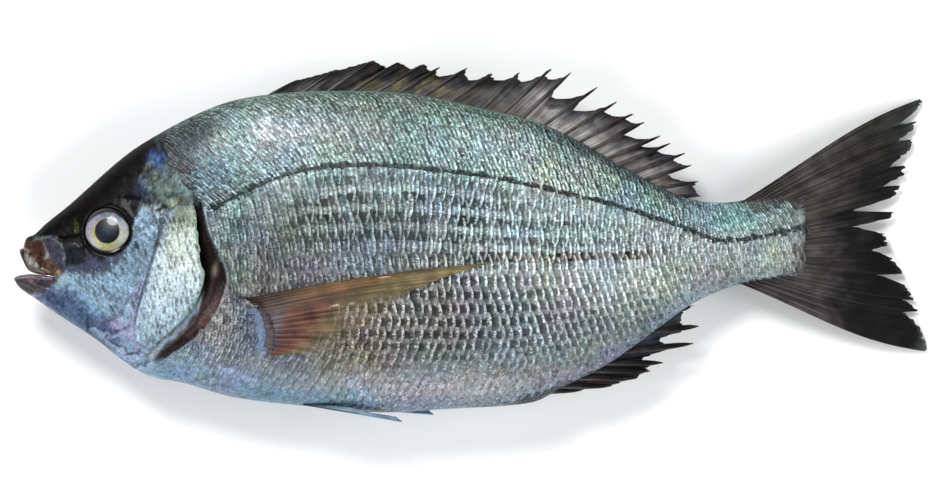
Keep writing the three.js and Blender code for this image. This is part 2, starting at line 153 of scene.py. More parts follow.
MIDDLE_ROW = [(-28.7, -2.0), (-18, -1.6), (-8, -1.4), (5, -1.8), (20.5, -1.5), (36.5, -1.2)]
PITCH = [(-34, 0.62), (-25, 0.74), (-17, 0.96), (2, 0.98), (10, 0.86), (20, 0.79), (29, 0.66), (36, 0.6)]
ROW_ABOVE_LINE = [(-34, 1.0), (-20, 1.12), (0, 1.13), (10, 1.02), (20, 0.95), (29, 0.78), (36, 0.7)]
ROW_BELOW_LINE = [(-34, 1.2), (-24, 1.6), (-17, 1.95), (-4, 2.0), (3, 1.8), (10, 1.66), (20, 1.36), (29, 0.9),
                  (36, 0.8)]
ROW_LOW = [(-34, 1.2), (-24, 1.4), (-14, 1.75), (0, 1.75), (8, 1.6), (16, 1.36), (23, 1.1), (29, 0.86),
           (36, 0.8)]
ROWS_ABOVE, ROWS_BELOW, ROWS_LOW = 15, 8, 20
LOW_ROW_SHRINK, LAST_SHRINK = 0.05, 10  # each row nearer the belly is narrower, down to the last that shrinks
LINE_GAP = 0.2  # the flank's scales stop this far from the lateral line, each side
# The scaly skin's ends, as (y, x): behind the head, and over the root of the tail fin.
SCALES_FROM = [
    (-19, -31.5), (-13.2, -33.2), (-9.6, -29.0), (-4.7, -26.6), (-1.9, -27.1), (0.5, -28.3), (3.9, -29.3),
    (6.5, -31.2), (9.5, -33.2), (12.5, -33.4), (17, -31),
]
SCALES_TO = [(-5, 34.2), (-3.5, 35.5), (-1.5, 36.3), (1.5, 36.1), (3.8, 35.2), (6, 32.3)]
# Dark stripes between the rows below the lateral line: strength along X, from the middle row up.
STRIPES = [
    [(-14, 0), (-8, 0.5), (3, 0.95), (18, 0.9), (22.5, 0)],
    [(-21, 0), (-17, 0.8), (-8, 1.0), (2, 0.85), (14, 0.65), (22, 0)],
    [(-21, 0), (-18, 0.8), (-9, 1.0), (3, 0.85), (12, 0.65), (20, 0)],
    [(-21, 0), (-17, 0.8), (-8, 0.9), (2, 0.75), (11, 0)],
    [(-20, 0), (-16, 0.7), (-6, 0.75), (3, 0.6), (8, 0)],
]
CHEEK_PITCH, CHEEK_ROW = 0.52, 0.8

# ---- Forms of the head, in percent of the total length ----

GILL_COVER_FRONT = [
    (-32.0, 4.0), (-33.2, 2.4), (-34.0, -0.1), (-35.3, -4.3), (-36.5, -8.4), (-36.5, -10.2), (-35.7, -11.8),
]
CHEEK_FOLD = [(-37.2, -5.2), (-37.6, -7.0), (-39.2, -8.6), (-41.3, -8.9)]
TEMPLE_FOLD = [(-37.8, 4.6), (-35.6, 4.2), (-34.4, 3.4), (-33.0, 3.6)]
UNDER_EYE_FOLD = [(-44.9, 0.2), (-42.9, 0.1), (-41.9, -1.5), (-41.0, -2.6), (-39.2, -2.3)]
JAW_FOLD = [(-45.3, -4.0), (-45.7, -5.0), (-47.2, -5.7)]
THROAT_FOLDS = [
    [(-41.5, -9.2), (-39.8, -9.9), (-38.0, -9.7), (-36.4, -9.0)],
    [(-39.8, -10.4), (-38.4, -11.4), (-36.9, -12.3), (-35.0, -11.3), (-33.4, -10.0)],
    [(-38.6, -13.3), (-36.4, -13.6), (-34.4, -12.9)],
]
NOSTRIL = (-43.0, 1.5, 0.16, 0.4)  # x, y and the two radii
DARK_FACE = [
    (-50, -0.8), (-49.3, 0.5), (-46.6, 2.6), (-43.9, 5.6), (-40.6, 8.6), (-37.9, 10.6), (-35.2, 12),
    (-34.2, 10.6), (-35.1, 8.6), (-35.9, 7.5), (-36.2, 6.2), (-35.7, 4.4), (-36.3, 2.7), (-37.0, 0.4),
    (-38.5, -1.5), (-40.1, -2.2), (-42.3, -2.6), (-43.9, -2.3), (-44.7, -0.5), (-46.0, 0.5), (-47.6, 0.1),
]
NAPE_PATCH = [
    (-34.9, 8.8), (-33.5, 8.3), (-32.1, 6.9), (-30.8, 4.9), (-30.5, 3.5), (-31.9, 2.9), (-33.5, 3.4),
    (-35.9, 4.1), (-36.3, 5.6), (-35.8, 7.3),
]
CHEEK = [
    (-37.3, 0.1), (-36.4, 3.1), (-35.1, 3.5), (-33.7, 2.1), (-34.4, -0.5), (-35.6, -4.8), (-36.9, -9.2),
    (-39.3, -8.6), (-42.5, -5.7), (-44.5, -3.6), (-41.9, -3.2), (-39.7, -2.5), (-38.0, -1.4),
]
UNDER_EYE = [
    (-43.9, -2.3), (-42.3, -1.0), (-40.8, -1.7), (-39.1, -1.9), (-37.6, -1.0), (-38.2, -2.3),
    (-40.1, -3.4), (-42.3, -3.8), (-44.3, -3.6), (-45.4, -3.2),
]
SNOUT_BUMP = [
    (-44.6, -1.0), (-44.3, -0.1), (-43.2, 0.0), (-42.3, -0.5), (-42.3, -1.9), (-43.0, -2.7), (-44.3, -2.7),
]
UPPER_JAW = [
    (-46.9, 0.3), (-45.6, 0.5), (-44.6, -0.3), (-44.5, -1.9), (-44.3, -2.9), (-45.2, -3.8), (-46.0, -2.9),
    (-46.4, -1.2),
]
FRONT_LIP = [
    (-49.4, 0.2), (-46.8, 0.1), (-46.4, -1.2), (-46.7, -2.3), (-47.1, -3.2), (-47.6, -2.3), (-49.4, -1.2),
]
LIP_FOLD = [
    (-48.7, -0.7), (-48.1, -1.0), (-47.8, -1.9), (-47.3, -2.5), (-47.1, -3.4), (-48.2, -3.4), (-48.6, -1.9),
]
MOUTH_CORNER = [
    (-46.9, -1.9), (-46.0, -1.9), (-45.3, -2.5), (-45.1, -3.4), (-45.6, -4.2), (-46.9, -4.1), (-47.0, -2.9),
]
LOWER_JAW = [
    (-50.6, -4.4), (-50, -3.4), (-47.8, -3.4), (-45.2, -4.0), (-45.8, -5.2), (-47.8, -5.8), (-49.6, -5.9),
]
LOWER_JAW_PINK = [(-48.9, -3.8), (-48.0, -3.7), (-47.7, -4.4), (-48.5, -4.6)]
LOWER_JAW_DARK = [(-47.6, -4.4), (-46.0, -4.0), (-45.4, -4.3), (-46.5, -5.1), (-47.6, -5.1)]
CHIN = [
    (-47.6, -5.4), (-46.6, -5.1), (-43.9, -5.4), (-40.6, -8.2), (-38.0, -9.3), (-38.6, -12), (-41.5, -12),
    (-46.0, -8.1),
]
FOLD_END = [(-39.5, -8.4), (-36.9, -9.0), (-35.9, -10.2), (-37.3, -10.7), (-39.3, -9.5)]
UPPER_LIP_PATH = [  # x, y, out from the mid plane, radius; the last three in millimetres
    (-46.4, -3.55, 5.9, 0.7), (-47.4, -3.3, 5.0, 0.9), (-48.2, -2.9, 3.9, 1.0), (-48.7, -2.0, 2.6, 1.0),
    (-49.0, -1.4, 1.3, 1.0), (-49.1, -1.1, 0, 1.0),
]
LOWER_LIP_PATH = [
    (-45.5, -4.15, 6.3, 0.6), (-46.8, -4.0, 5.4, 0.8), (-48.2, -3.85, 3.9, 0.8), (-49.2, -3.95, 2.2, 0.8),
    (-49.7, -4.1, 1.0, 0.7), (-49.8, -4.15, 0, 0.7),
]
INNER_FOLD_PATH = [
    (-45.6, -3.5, 5.2, 0.6), (-46.6, -3.2, 4.9, 0.9), (-47.5, -2.7, 4.0, 0.9), (-48.1, -2.1, 2.7, 0.8),
    (-48.4, -1.7, 1.3, 0.8), (-48.5, -1.5, 0, 0.8),
]

LOBE_RISE, SHOULDER_RISE, LID_RISE = 1.7, 0.35, 0.25  # in millimetres, as all that follow
SOCKET_DEPTH, NOSTRIL_DEPTH = 4.2, 0.9
# What stands out of the head or sinks into it: outline, rise in millimetres, softness of the edge.
RAISED_AREAS = [
    (SNOUT_BUMP, 0.7, 0.3), (UPPER_JAW, 0.45, 0.3), (FRONT_LIP, 0.6, 0.35), (MOUTH_CORNER, -0.9, 0.35),
]
# Line, depth in millimetres, width.
FOLDS = [
    (CHEEK_FOLD, 0.5, 0.22), (GILL_COVER_FRONT, 0.5, 0.16), (TEMPLE_FOLD, 0.45, 0.18),
    (UNDER_EYE_FOLD, 0.4, 0.16), (JAW_FOLD, 0.45, 0.16), *((line, 0.35, 0.16) for line in THROAT_FOLDS),
]

# ---- Colours of the skin, the fins and the eyes ----

# From the belly up: (share of the depth, colour).
FLANK_BELTS = [
    (0.0, "#6c7a86"), (0.1, "#767f86"), (0.22, "#838586"), (0.36, "#8d9090"), (0.5, "#97a0a0"),
    (0.62, "#a3b2b1"), (0.78, "#9bb3b0"), (0.92, "#849c94"), (1.0, "#5c736b"),
]
# Soft patches: what it is, x, y, radius x, radius y, turn, colour, strength.
PATCHES = [
    ("dim front flank", -19, -0.5, 10, 5.6, 5, "#6c787c", 0.75),
    ("dim front back", -12, 12, 9, 4.5, 0, "#768e8a", 0.65),
    ("lit rear back", 5, 9, 9, 3, -22, "#b4cbc6", 0.6),
    ("lit middle", 5, 4.6, 7, 3.2, -8, "#b0c0bf", 0.6),
    ("nape", -31.5, 10.5, 5.5, 5.5, -35, "#141f2c", 0.95),
    ("blue shoulder", -28.5, 7.2, 4.0, 3.0, 20, "#45626f", 0.8),
    ("blue-green front back", -23, 10.3, 5.5, 4, 0, "#7b959a", 0.55),
    ("shoulder sheen", -20.8, 11.8, 4.2, 1.1, 4, "#b6c6cb", 0.5),
    ("blue-black nape", -32.2, 9.9, 2.6, 1.8, -40, "#22303c", 0.6),
    ("dark rows in the middle", -7.8, 2.2, 4.5, 1.7, 0, "#4c5755", 0.42),
    ("pale rows above them", -8.5, 5.5, 7, 1.3, 0, "#a9bcb8", 0.35),
    ("brown top of the gill cover", -31.1, 4.0, 1.5, 1.2, 0, "#6b675a", 0.6),
    ("dim behind the gills", -25, 0, 3.4, 5, 0, "#5f7478", 0.8),
    ("dim over the side fin", -20.5, -2.5, 5, 3.4, 0, "#626562", 0.7),
    ("violet over the side fin", -12, -1.8, 7, 2.0, 8, "#6f7590", 0.6),
    ("brown under the side fin", -12, -12, 8, 3, 15, "#7d7462", 0.7),
    ("dim under the side fin", -20, -13.6, 4.5, 2.2, -5, "#596069", 0.8),
    ("violet low flank", -4, -8.5, 9, 4, 10, "#756f72", 0.6),
    ("blue low flank", 6.5, -9.6, 7, 3.6, 0, "#7f8f9b", 0.65),
    ("lit under the side fin", -12.5, -7.6, 4.5, 2.0, 0, "#a79d93", 0.65),
    ("blue belly", -26, -16.0, 9, 2.2, -8, "#657f92", 0.95),
    ("blue belly's edge", -16, -17.6, 12, 1.5, -3, "#5f7d91", 0.8),
    ("blue throat", -31, -13.8, 5, 2.6, -20, "#728899", 0.9),
    ("pale rear flank", 12, -2.5, 12, 4.5, -8, "#bac8c6", 0.85),
    ("teal tail root", 27, 2.8, 5.5, 1.6, 0, "#7fa3ad", 0.9),
    ("cream tail root", 29, -1.8, 6, 1.8, 0, "#a3b1b0", 0.8),
    ("pale end of the tail root", 33.5, 1.5, 2.2, 3, 0, "#959c9e", 0.8),
    ("blue rear flank", 18.5, 4.0, 4.5, 2, -15, "#88a7b2", 0.5),
    ("warm rear belly", 1, -15.6, 11, 2.0, 5, "#918988", 0.55),
    ("blue by the rear fin", 16, -12.2, 7, 1.6, 36, "#6b7484", 0.8),
    ("side of the head", -39.5, -6, 8.5, 9, 0, "#6a8299", 1.0),
    ("under the gill cover", -36.5, -12.4, 5, 2.0, -35, "#6f86a0", 0.9),
]
# Crisper areas of the head: outline, colour, strength, softness of the edge.
AREAS = [
    (CHIN, "#3f526c", 0.95, 0.9),
    (CHEEK, "#7790a4", 1.0, 0.5),
    (FOLD_END, "#8d86a6", 0.7, 0.4),
    (DARK_FACE, "#070404", 1.0, 0.35),
    (UNDER_EYE, "#312f3d", 0.9, 0.35),
    (NAPE_PATCH, "#46534f", 0.95, 0.35),
    (SNOUT_BUMP, "#1f2027", 1.0, 0.3),
    (UPPER_JAW, "#393745", 1.0, 0.25),
    (FRONT_LIP, "#3a2522", 1.0, 0.25),
    (LIP_FOLD, "#7d756b", 0.8, 0.2),
    (MOUTH_CORNER, "#402e22", 1.0, 0.25),
    (LOWER_JAW, "#403c43", 1.0, 0.3),
    (LOWER_JAW_PINK, "#6b474b", 0.7, 0.2),
    (LOWER_JAW_DARK, "#342c38", 0.9, 0.2),
]
# Small spots over them: x, y, radius x, radius y, turn, colour, strength.
SPOTS = [
    (-35.2, 7.2, 1.3, 0.9, 0, "#181b1f", 0.8),
    (-34.2, 8.7, 1.4, 0.9, -50, "#2a4170", 0.95),
    (-35.7, 5.6, 0.85, 1.3, 25, "#232f5b", 0.95),
    (-31.7, 8.3, 2.4, 0.8, -50, "#1c262e", 0.85),
    (-36.3, 4.3, 1.3, 0.9, 0, "#0e1226", 0.95),
    # Painted shade in the slit at the side fin's root.
    (-24.2, -6.8, 1.3, 0.45, -25, "#1d1416", 0.9),
    (-43.1, 1.6, 0.3, 0.6, 0, "#55552c", 0.9),
    (-32.3, 4.2, 0.7, 0.5, 20, "#9a9c86", 0.7),
    (-29.5, 4.7, 0.9, 0.9, 0, "#1d1824", 0.95),
    (-45.0, -3.4, 0.22, 0.3, 0, "#a98a55", 0.8),
    (-45.2, -4.1, 0.25, 0.2, 0, "#8f7550", 0.7),
    (-41.2, -2.5, 0.9, 0.4, -10, "#35345c", 0.5),
    (-45.2, -6.2, 1.7, 0.8, -40, "#273049", 0.8),
    (-39.2, -2.4, 0.7, 0.4, 20, "#4a4a66", 0.5),
]
PATCH_EDGE, SPOT_EDGE = 1.6, 1.5  # how crisp the edges of patches and spots are: 1 is the softest
FIN_ROOT = "#3f3a3a"  # where the scales fade into the tail fin
# Across the gill slit, from the cover's edge to the shoulder: its dark flesh, with painted shade that is
# darkest under the cover's edge.
GILL_HOLLOW = [(0.0, "#0c0909"), (0.4, "#1a1413"), (0.6, "#241b19"), (0.8, "#1b1718"), (1.0, "#2b2425")]
FOLDED_SKIN = [(0, "#5d6874"), (0.12, "#9fb0c0"), (0.28, "#8492a3"), (0.4, "#352d30")]
# By height: the gill cover, the tail fin and, from -1 at its bottom to 1 at its top, the iris.
GILL_COVER_BELTS = [
    (-12, "#7f94ac"), (-9, "#9db4c4"), (-5, "#bccfd6"), (-1, "#cbdcd6"), (1.6, "#b4c4b9"), (2.8, "#818d7b"),
    (4, "#6a7567"),
]
TAIL_BELTS = [
    (-12, "#141314"), (-7, "#100e10"), (-2, "#0a090b"), (2, "#111012"), (5, "#1c1a1a"), (9, "#242220"),
    (16, "#222320"),
]
# The iris darkens towards its top: painted shade from the upper lid.
IRIS_BELTS = [(-1, "#8b8868"), (-0.2, "#9c9e95"), (0.4, "#898f9b"), (1, "#565f70")]
# By reach, from 0 at the root to 1 at the edge.
BACK_FIN = [
    (0, "#101316"), (0.14, "#1c1d1f"), (0.22, "#464442"), (0.6, "#3c3b3b"), (0.86, "#1d1b1d"), (1, "#0a090a"),
]
ANAL_FIN = [(0, "#14161c"), (0.4, "#0f1015"), (0.8, "#08080b"), (1, "#030304")]
BELLY_FIN = [(0, "#12161b"), (0.3, "#2a3642"), (0.6, "#6c8496"), (1, "#5f7688")]
FIN_BONE = [(0, "#3f3d3b"), (0.4, "#4a4643"), (0.65, "#1f1c1d"), (1, "#0b0a0b")]
# By ray, from the leading one.
SIDE_FIN_RAYS = [
    (0, "#1c0f07"), (0.5, "#32200c"), (1.6, "#412811"), (3, "#432a19"), (5, "#5f4533"), (8, "#62543f"),
]
TINTS = [  # seed, grain in percent, red, green and blue at full strength
    (21, 5.0, (-0.08, 0.03, 0.04)), (22, 2.2, (0.03, -0.04, 0.07)), (23, 3.1, (0.05, 0.03, -0.07)),
    (24, 0.8, (0.05, -0.01, -0.05)), (25, 0.7, (-0.04, 0.03, 0.06)),
]

# ---- Curves and the body's own surface ----

NOISE_CELLS = 64  # cells each way before a noise repeats
NOISE_START = (500.3, 500.7)  # where the fish's middle lies in the noise, in cells
FLOOR_GAP = 0.25  # from the floor to the rear edges of the scales on the pressed flank, in millimetres
TINY = 0.05  # step over which slopes are measured, in percent


def along(points, x):
    """Smooth value at x through (x, value) pairs: cubic pieces, slopes from the neighbours."""
    px, py = np.array(points, float).T
    before, after = np.r_[0, np.arange(len(px) - 1)], np.r_[np.arange(1, len(px)), len(px) - 1]
    slope = (py[after] - py[before]) / np.maximum(px[after] - px[before], 1e-9)
    x = np.clip(x, px[0], px[-1])
    i = np.clip(np.searchsorted(px, x, side="right"), 1, len(px) - 1)
    width, rise = px[i] - px[i - 1], py[i] - py[i - 1]
    t = (x - px[i - 1]) / width
    start, end = slope[i - 1] * width - rise, rise - slope[i] * width
    return py[i - 1] + t * rise + t * (1 - t) * ((1 - t) * start + t * end)


def smooth_line(points, count):
    """Even points on a smooth curve through the given ones."""
    points = np.array(points, float)
    ends = np.r_[0, np.cumsum(np.linalg.norm(np.diff(points, axis=0), axis=1))]
    at = np.linspace(0, ends[-1], count)
    return np.stack([along(np.c_[ends, column], at) for column in points.T], -1)


def places_along(points, at):
    """Points at fractional places along the straight pieces between the given ones."""
    return np.stack([np.interp(at, np.arange(len(points)), column) for column in np.transpose(points)], -1)


def step(low, high, value):
    """0 at low, 1 at high and smooth between them."""
    t = np.clip((value - low) / (high - low), 0, 1)
    return t * t * (3 - 2 * t)


def mix(a, b, share):
    return a + (b - a) * share


def across(line, y):
    """x of a line on the flank at height y; the line is given from the top down."""
    return along([(py, px) for px, py in reversed(line)], y)


def to_line(line, x, y):
    """Distance in percent from each (x, y) to an open line of straight pieces."""
    best = np.full(np.shape(x), 1e9)
    for (ax, ay), (bx, by) in zip(line[:-1], line[1:]):
        dx, dy = bx - ax, by - ay
        t = np.clip(((x - ax) * dx + (y - ay) * dy) / (dx * dx + dy * dy), 0, 1)
        best = np.minimum(best, np.hypot(x - ax - t * dx, y - ay - t * dy))
    return best


def crease(line, width, x, y):
    """1 on a smooth line through the points, fading over `width` percent beside it."""
    return np.exp(-((to_line(smooth_line(line, 24), x, y) / width) ** 2))


def inside(outline, x, y, soft):
    """1 inside a closed outline and 0 outside it, soft over `soft` percent each way."""
    odd = np.zeros(np.shape(x), bool)
    for (ax, ay), (bx, by) in zip(outline, outline[1:] + outline[:1]):
        if ay != by:
            odd ^= ((ay > y) != (by > y)) & (x < ax + (y - ay) * (bx - ax) / (by - ay))
    away = to_line(outline + outline[:1], x, y)
    return step(-soft, soft, np.where(odd, away, -away))


def blob(x, y, cx, cy, rx, ry, turn=0.0, power=1.0):
    """Soft spot: 1 in the middle, falling off outside the radii."""
    c, s = math.cos(math.radians(turn)), math.sin(math.radians(turn))
    dx, dy = x - cx, y - cy
    return np.exp(-((((dx * c + dy * s) / rx) ** 2 + ((dy * c - dx * s) / ry) ** 2) ** power))


def noise(x, y, grain, seed):
    """Soft seeded noise from -1 to 1 over the flank; `grain` is its size in percent."""
    table = np.random.default_rng(seed).uniform(-1, 1, (NOISE_CELLS, NOISE_CELLS))
    u, v = np.asarray(x) / grain + NOISE_START[0], np.asarray(y) / grain + NOISE_START[1]
    i, j = np.floor(u).astype(int), np.floor(v).astype(int)
    s, t = step(0, 1, u - i), step(0, 1, v - j)
    corner = lambda a, b: table[(i + a) % NOISE_CELLS, (j + b) % NOISE_CELLS]
    return mix(mix(corner(0, 0), corner(1, 0), s), mix(corner(0, 1), corner(1, 1), s), t)


def sizes():
    return bpy.context.scene.bream_sizes


def mid_plane(x):
    """Height of the mid plane in millimetres."""
    return (sizes().thickness / 2 - sizes().pressed) / MM * along(MID_PLANE, x)


def floor_gap():
    """Height of the bare skin over the floor where the lower flank is pressed, in millimetres."""
    return sizes().scale_rise / MM + FLOOR_GAP


def widest_line(x):
    return mix(along(BELLY, x), along(BACK, x), WIDEST_LINE)


def up_the_side(x, y):
    """0 on the belly's edge and 1 on the back's."""
    return (y - along(BELLY, x)) / (along(BACK, x) - along(BELLY, x))


def share_of_depth(x, y):
    """0 on the widest line, 1 on the back and -1 on the belly."""
    back, belly, widest = along(BACK, x), along(BELLY, x), widest_line(x)
    return np.where(y > widest, (y - widest) / (back - widest), (y - widest) / (widest - belly))


def flank(x, y):
    """Height of the plain flank above the mid plane, in millimetres."""
    share = share_of_depth(x, y)
    curve = np.where(share > 0, BACK_CURVE, BELLY_CURVE)
    return sizes().thickness / MM / 2 * along(SWELL, x) * np.clip(1 - share**2, 0, 1) ** curve


def share_between(front_line, rear_line, x, y):
    """Share of the way from one line on the flank to a line behind it."""
    front, rear = across(front_line, y), across(rear_line, y)
    return (x - front) / np.maximum(rear - front, 0.05)


def gill_place(x, y):
    """Place across the gill opening, 0 at the cover's edge and 1 at the shoulder, and its strength."""
    return share_between(GILL_COVER_EDGE, SHOULDER_EDGE, x, y), step(-13.8, -12.4, y) * step(4.6, 3.7, y)


def membrane(t, y):
    """1 on the pale folded skin that shows under the gill cover, 0 elsewhere."""
    width = 0.1 + 0.28 * step(-5.6, -8.6, y)
    return step(-5.2, -6.4, y) * step(width + 0.08, width, t)


def lobe(x, y):
    """1 on the fleshy lobe in front of the side fin, with a sharp rear edge."""
    across_it = step(-27.6, -23.6, x) * step(0.3, 0.0, x - along(LOBE_EDGE, y))
    return across_it * step(-13.4, -11.6, y) * step(-5.9, -7.4, y)


def from_eye(x, y):
    """Distance from the eye's middle, in radii of its visible disc."""
    size = sizes()
    return np.hypot(x - size.eye_x, y - size.eye_y) * UNIT / size.eye_radius


def relief(x, y):
    """Forms of the head on the flank, outward, in millimetres."""
    x, y = np.broadcast_arrays(x, y)
    out = np.zeros(x.shape)
    head = x < HEAD_END
    if not head.any():
        return out
    x, y = x[head], y[head]
    t, there = gill_place(x, y)
    fold = membrane(t, y)
    depth = sizes().gill_depth / MM * (1 - 0.75 * fold) * (1 - 0.75 * step(-4.5, -10.5, y))
    form = -depth * there * step(-0.3, 0.0, t) * step(1.05, 0.8, t)
    form += there * fold * 0.08 * np.cos(22 * t) * step(-0.1, 0.1, t)
    form += LOBE_RISE * lobe(x, y)
    form += SHOULDER_RISE * there * step(0.9, 1.1, t) * step(1.9, 1.2, t)
    r = from_eye(x, y)
    form += -SOCKET_DEPTH * step(1.06, 0.86, r) + LID_RISE * np.exp(-(((r - 1.2) / 0.14) ** 2))
    for outline, rise, soft in RAISED_AREAS:
        form += rise * inside(outline, x, y, soft)
    for line, deep, width in FOLDS:
        form -= deep * crease(line, width, x, y)
    form -= NOSTRIL_DEPTH * blob(x, y, *NOSTRIL)
    form += 0.05 * noise(x, y, 0.55, 31) + 0.1 * noise(x, y, 1.6, 32)
    out[head] = form
    return out


def skin_height(x, y):
    return flank(x, y) + relief(x, y)


def cover_height(x, y):
    """The gill cover's outside above the mid plane: flush in front, proud of the skin behind."""
    s = np.clip(share_between(GILL_COVER_FRONT, GILL_COVER_EDGE, x, y), 0, 1)
    rise = sizes().gill_cover_rise / MM
    return flank(x, y) + (rise * np.sin(s * math.pi / 2) ** 0.7 + 0.05) * step(4.6, 3.0, y)


def on_flank(x, y, lift, side=1, height=skin_height):
    """Points in metres on a flank, `lift` millimetres out from it. y is held on the body."""
    share = share_of_depth(x, y)
    room = 1 - ROUND_FROM
    bent = ROUND_FROM + room * np.tanh((np.abs(share) - ROUND_FROM) / room)
    kept = np.sign(share) * np.where(np.abs(share) > ROUND_FROM, bent, np.abs(share))
    back, belly, widest = along(BACK, x), along(BELLY, x), widest_line(x)
    y = widest + np.where(kept > 0, kept * (back - widest), kept * (widest - belly))
    slope_x = (height(x + TINY, y) - height(x - TINY, y)) / (2 * TINY * UNIT_MM)
    slope_y = (height(x, y + TINY) - height(x, y - TINY)) / (2 * TINY * UNIT_MM)
    length = np.sqrt(slope_x**2 + slope_y**2 + 1)
    px = x * UNIT_MM - lift * slope_x / length
    py = y * UNIT_MM - lift * slope_y / length
    z = mid_plane(x) + side * (height(x, y) + lift / length)
    return np.stack([px, py, np.maximum(z, np.clip(floor_gap() - lift, 0.02, None))], -1) * MM


# ---- Meshes ----

ROD_SIDES = 10


def make_mesh(name, points, faces, material):
    """Links a smooth mesh from points in metres; none of them goes under the floor."""
    points = np.array(points, float).reshape(-1, 3)
    points[:, 2] = np.maximum(points[:, 2], 0)
    mesh = bpy.data.meshes.new(name)
    mesh.from_pydata(points.tolist(), [], faces.tolist() if isinstance(faces, np.ndarray) else faces)
    mesh.validate()
    mesh.shade_smooth()
    mesh.materials.append(material)
    piece = bpy.data.objects.new(name, mesh)
    bpy.context.scene.collection.objects.link(piece)
    return piece


def places_of(piece):
    """x and y of each vertex in percent."""
    flat = np.empty(len(piece.data.vertices) * 3)
    piece.data.vertices.foreach_get("co", flat)
    return flat.reshape(-1, 3)[:, 0] / UNIT, flat.reshape(-1, 3)[:, 1] / UNIT


def paint(piece, name, values):
    """Stores one number or one colour for each vertex."""
    values = np.asarray(values, float)
    flat = values.ndim == 1
    layer = piece.data.attributes.new(name, "FLOAT" if flat else "FLOAT_COLOR", "POINT")
    if not flat:
        values = np.c_[values, np.ones(len(values))]
    layer.data.foreach_set("value" if flat else "color", values.ravel())


def grid_faces(rows, columns, start=0, closed=False):
    """Quads over a grid of points; `closed` joins the last column to the first."""
    i, j = np.meshgrid(np.arange(rows - 1), np.arange(columns - (not closed)), indexing="ij")
    here, there = start + i * columns + j, start + i * columns + (j + 1) % columns
    return np.stack([here, there, there + columns, here + columns], -1).reshape(-1, 4)


def closed_faces(rings, around):
    """Faces of a closed tube of rings, with a cap at each end."""
    caps = [list(range(around))[::-1], list(range((rings - 1) * around, rings * around))]
    return grid_faces(rings, around, closed=True).tolist() + caps


def tube(points, radii, up):
    """Tapered round rod along points, in millimetres: its vertices and faces."""
    forward = np.gradient(points, axis=0)
    forward /= np.linalg.norm(forward, axis=1)[:, None]
    side = np.cross(forward, up)
    side /= np.linalg.norm(side, axis=1)[:, None]
    above = np.cross(side, forward)
    angle = np.linspace(0, 2 * math.pi, ROD_SIDES, endpoint=False)[None, :, None]
    ring = points[:, None] + np.asarray(radii)[:, None, None] * (
        np.cos(angle) * side[:, None] + np.sin(angle) * above[:, None])
    return ring.reshape(-1, 3), closed_faces(len(points), ROD_SIDES)


def rods(name, paths, radii, up, material):
    """Several tapered rods as one piece, and each vertex's reach: 0 at a rod's start, 1 at its end."""
    points, faces, reach = [], [], []
    for path, radius in zip(paths, radii):
        ring, quads = tube(np.asarray(path), radius, up)
        start = sum(len(p) for p in points)
        faces += [[i + start for i in face] for face in quads]
        points.append(ring)
        reach.append(np.repeat(np.linspace(0, 1, len(path)), len(ring) // len(path)))
    piece = make_mesh(name, np.concatenate(points) * MM, faces, material)
    return piece, np.concatenate(reach)


def sheet(name, middle, half, material, across=(0, 0, 1)):
    """Closed thin sheet round a grid of points. It and its half thickness are in millimetres.

    `across` is the way from one face to the other.
    """
    rows, columns = middle.shape[:2]
    offset = np.asarray(half)[..., None] * np.array(across)
    points = np.concatenate([(middle + offset).reshape(-1, 3), (middle - offset).reshape(-1, 3)]) * MM
    total = rows * columns
    border = np.r_[
        np.arange(columns), columns - 1 + columns * np.arange(1, rows),
        (rows - 1) * columns + np.arange(columns - 1)[::-1], columns * np.arange(1, rows - 1)[::-1],
    ]
    after = np.roll(border, -1)
    wall = np.stack([border, border + total, after + total, after], -1)
    top = grid_faces(rows, columns)
    bottom = grid_faces(rows, columns, total)[:, ::-1]
    piece = make_mesh(name, points, np.concatenate([top, bottom, wall]), material)
    return face_outward(piece)


def face_outward(piece):
    """Turns a closed piece's faces so that they point out."""
    shape = bmesh.new()
    shape.from_mesh(piece.data)
    bmesh.ops.recalc_face_normals(shape, faces=shape.faces)
    shape.to_mesh(piece.data)
    shape.free()
    return piece


def dress(piece, slot, *nodes):
    """Makes a piece ride on the fish's body and stand for nodes, whose imported parts it hides; its slot is
    not used.
    """
    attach(piece, BODY)
    if nodes:
        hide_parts(*nodes)
    return piece


# ---- Colours ----


def linear(code):
    """sRGB hex code to linear red, green and blue."""
    parts = [int(code[i : i + 2], 16) / 255 for i in (1, 3, 5)]
    return tuple(c / 12.92 if c <= 0.04045 else ((c + 0.055) / 1.055) ** 2.4 for c in parts)


def layered(colour, *layers):
    """Mixes (hex colour, weight) pairs one after another into an array of linear colours."""
    for code, weight in layers:
        colour = mix(colour, np.array(linear(code)), np.asarray(weight)[..., None])
    return colour


def ramp(value, stops):
    """Linear colours at each value, through (value, hex colour) stops."""
    codes = np.array([linear(code) for _, code in stops])
    return np.stack([np.interp(value, [at for at, _ in stops], codes[:, c]) for c in range(3)], -1)


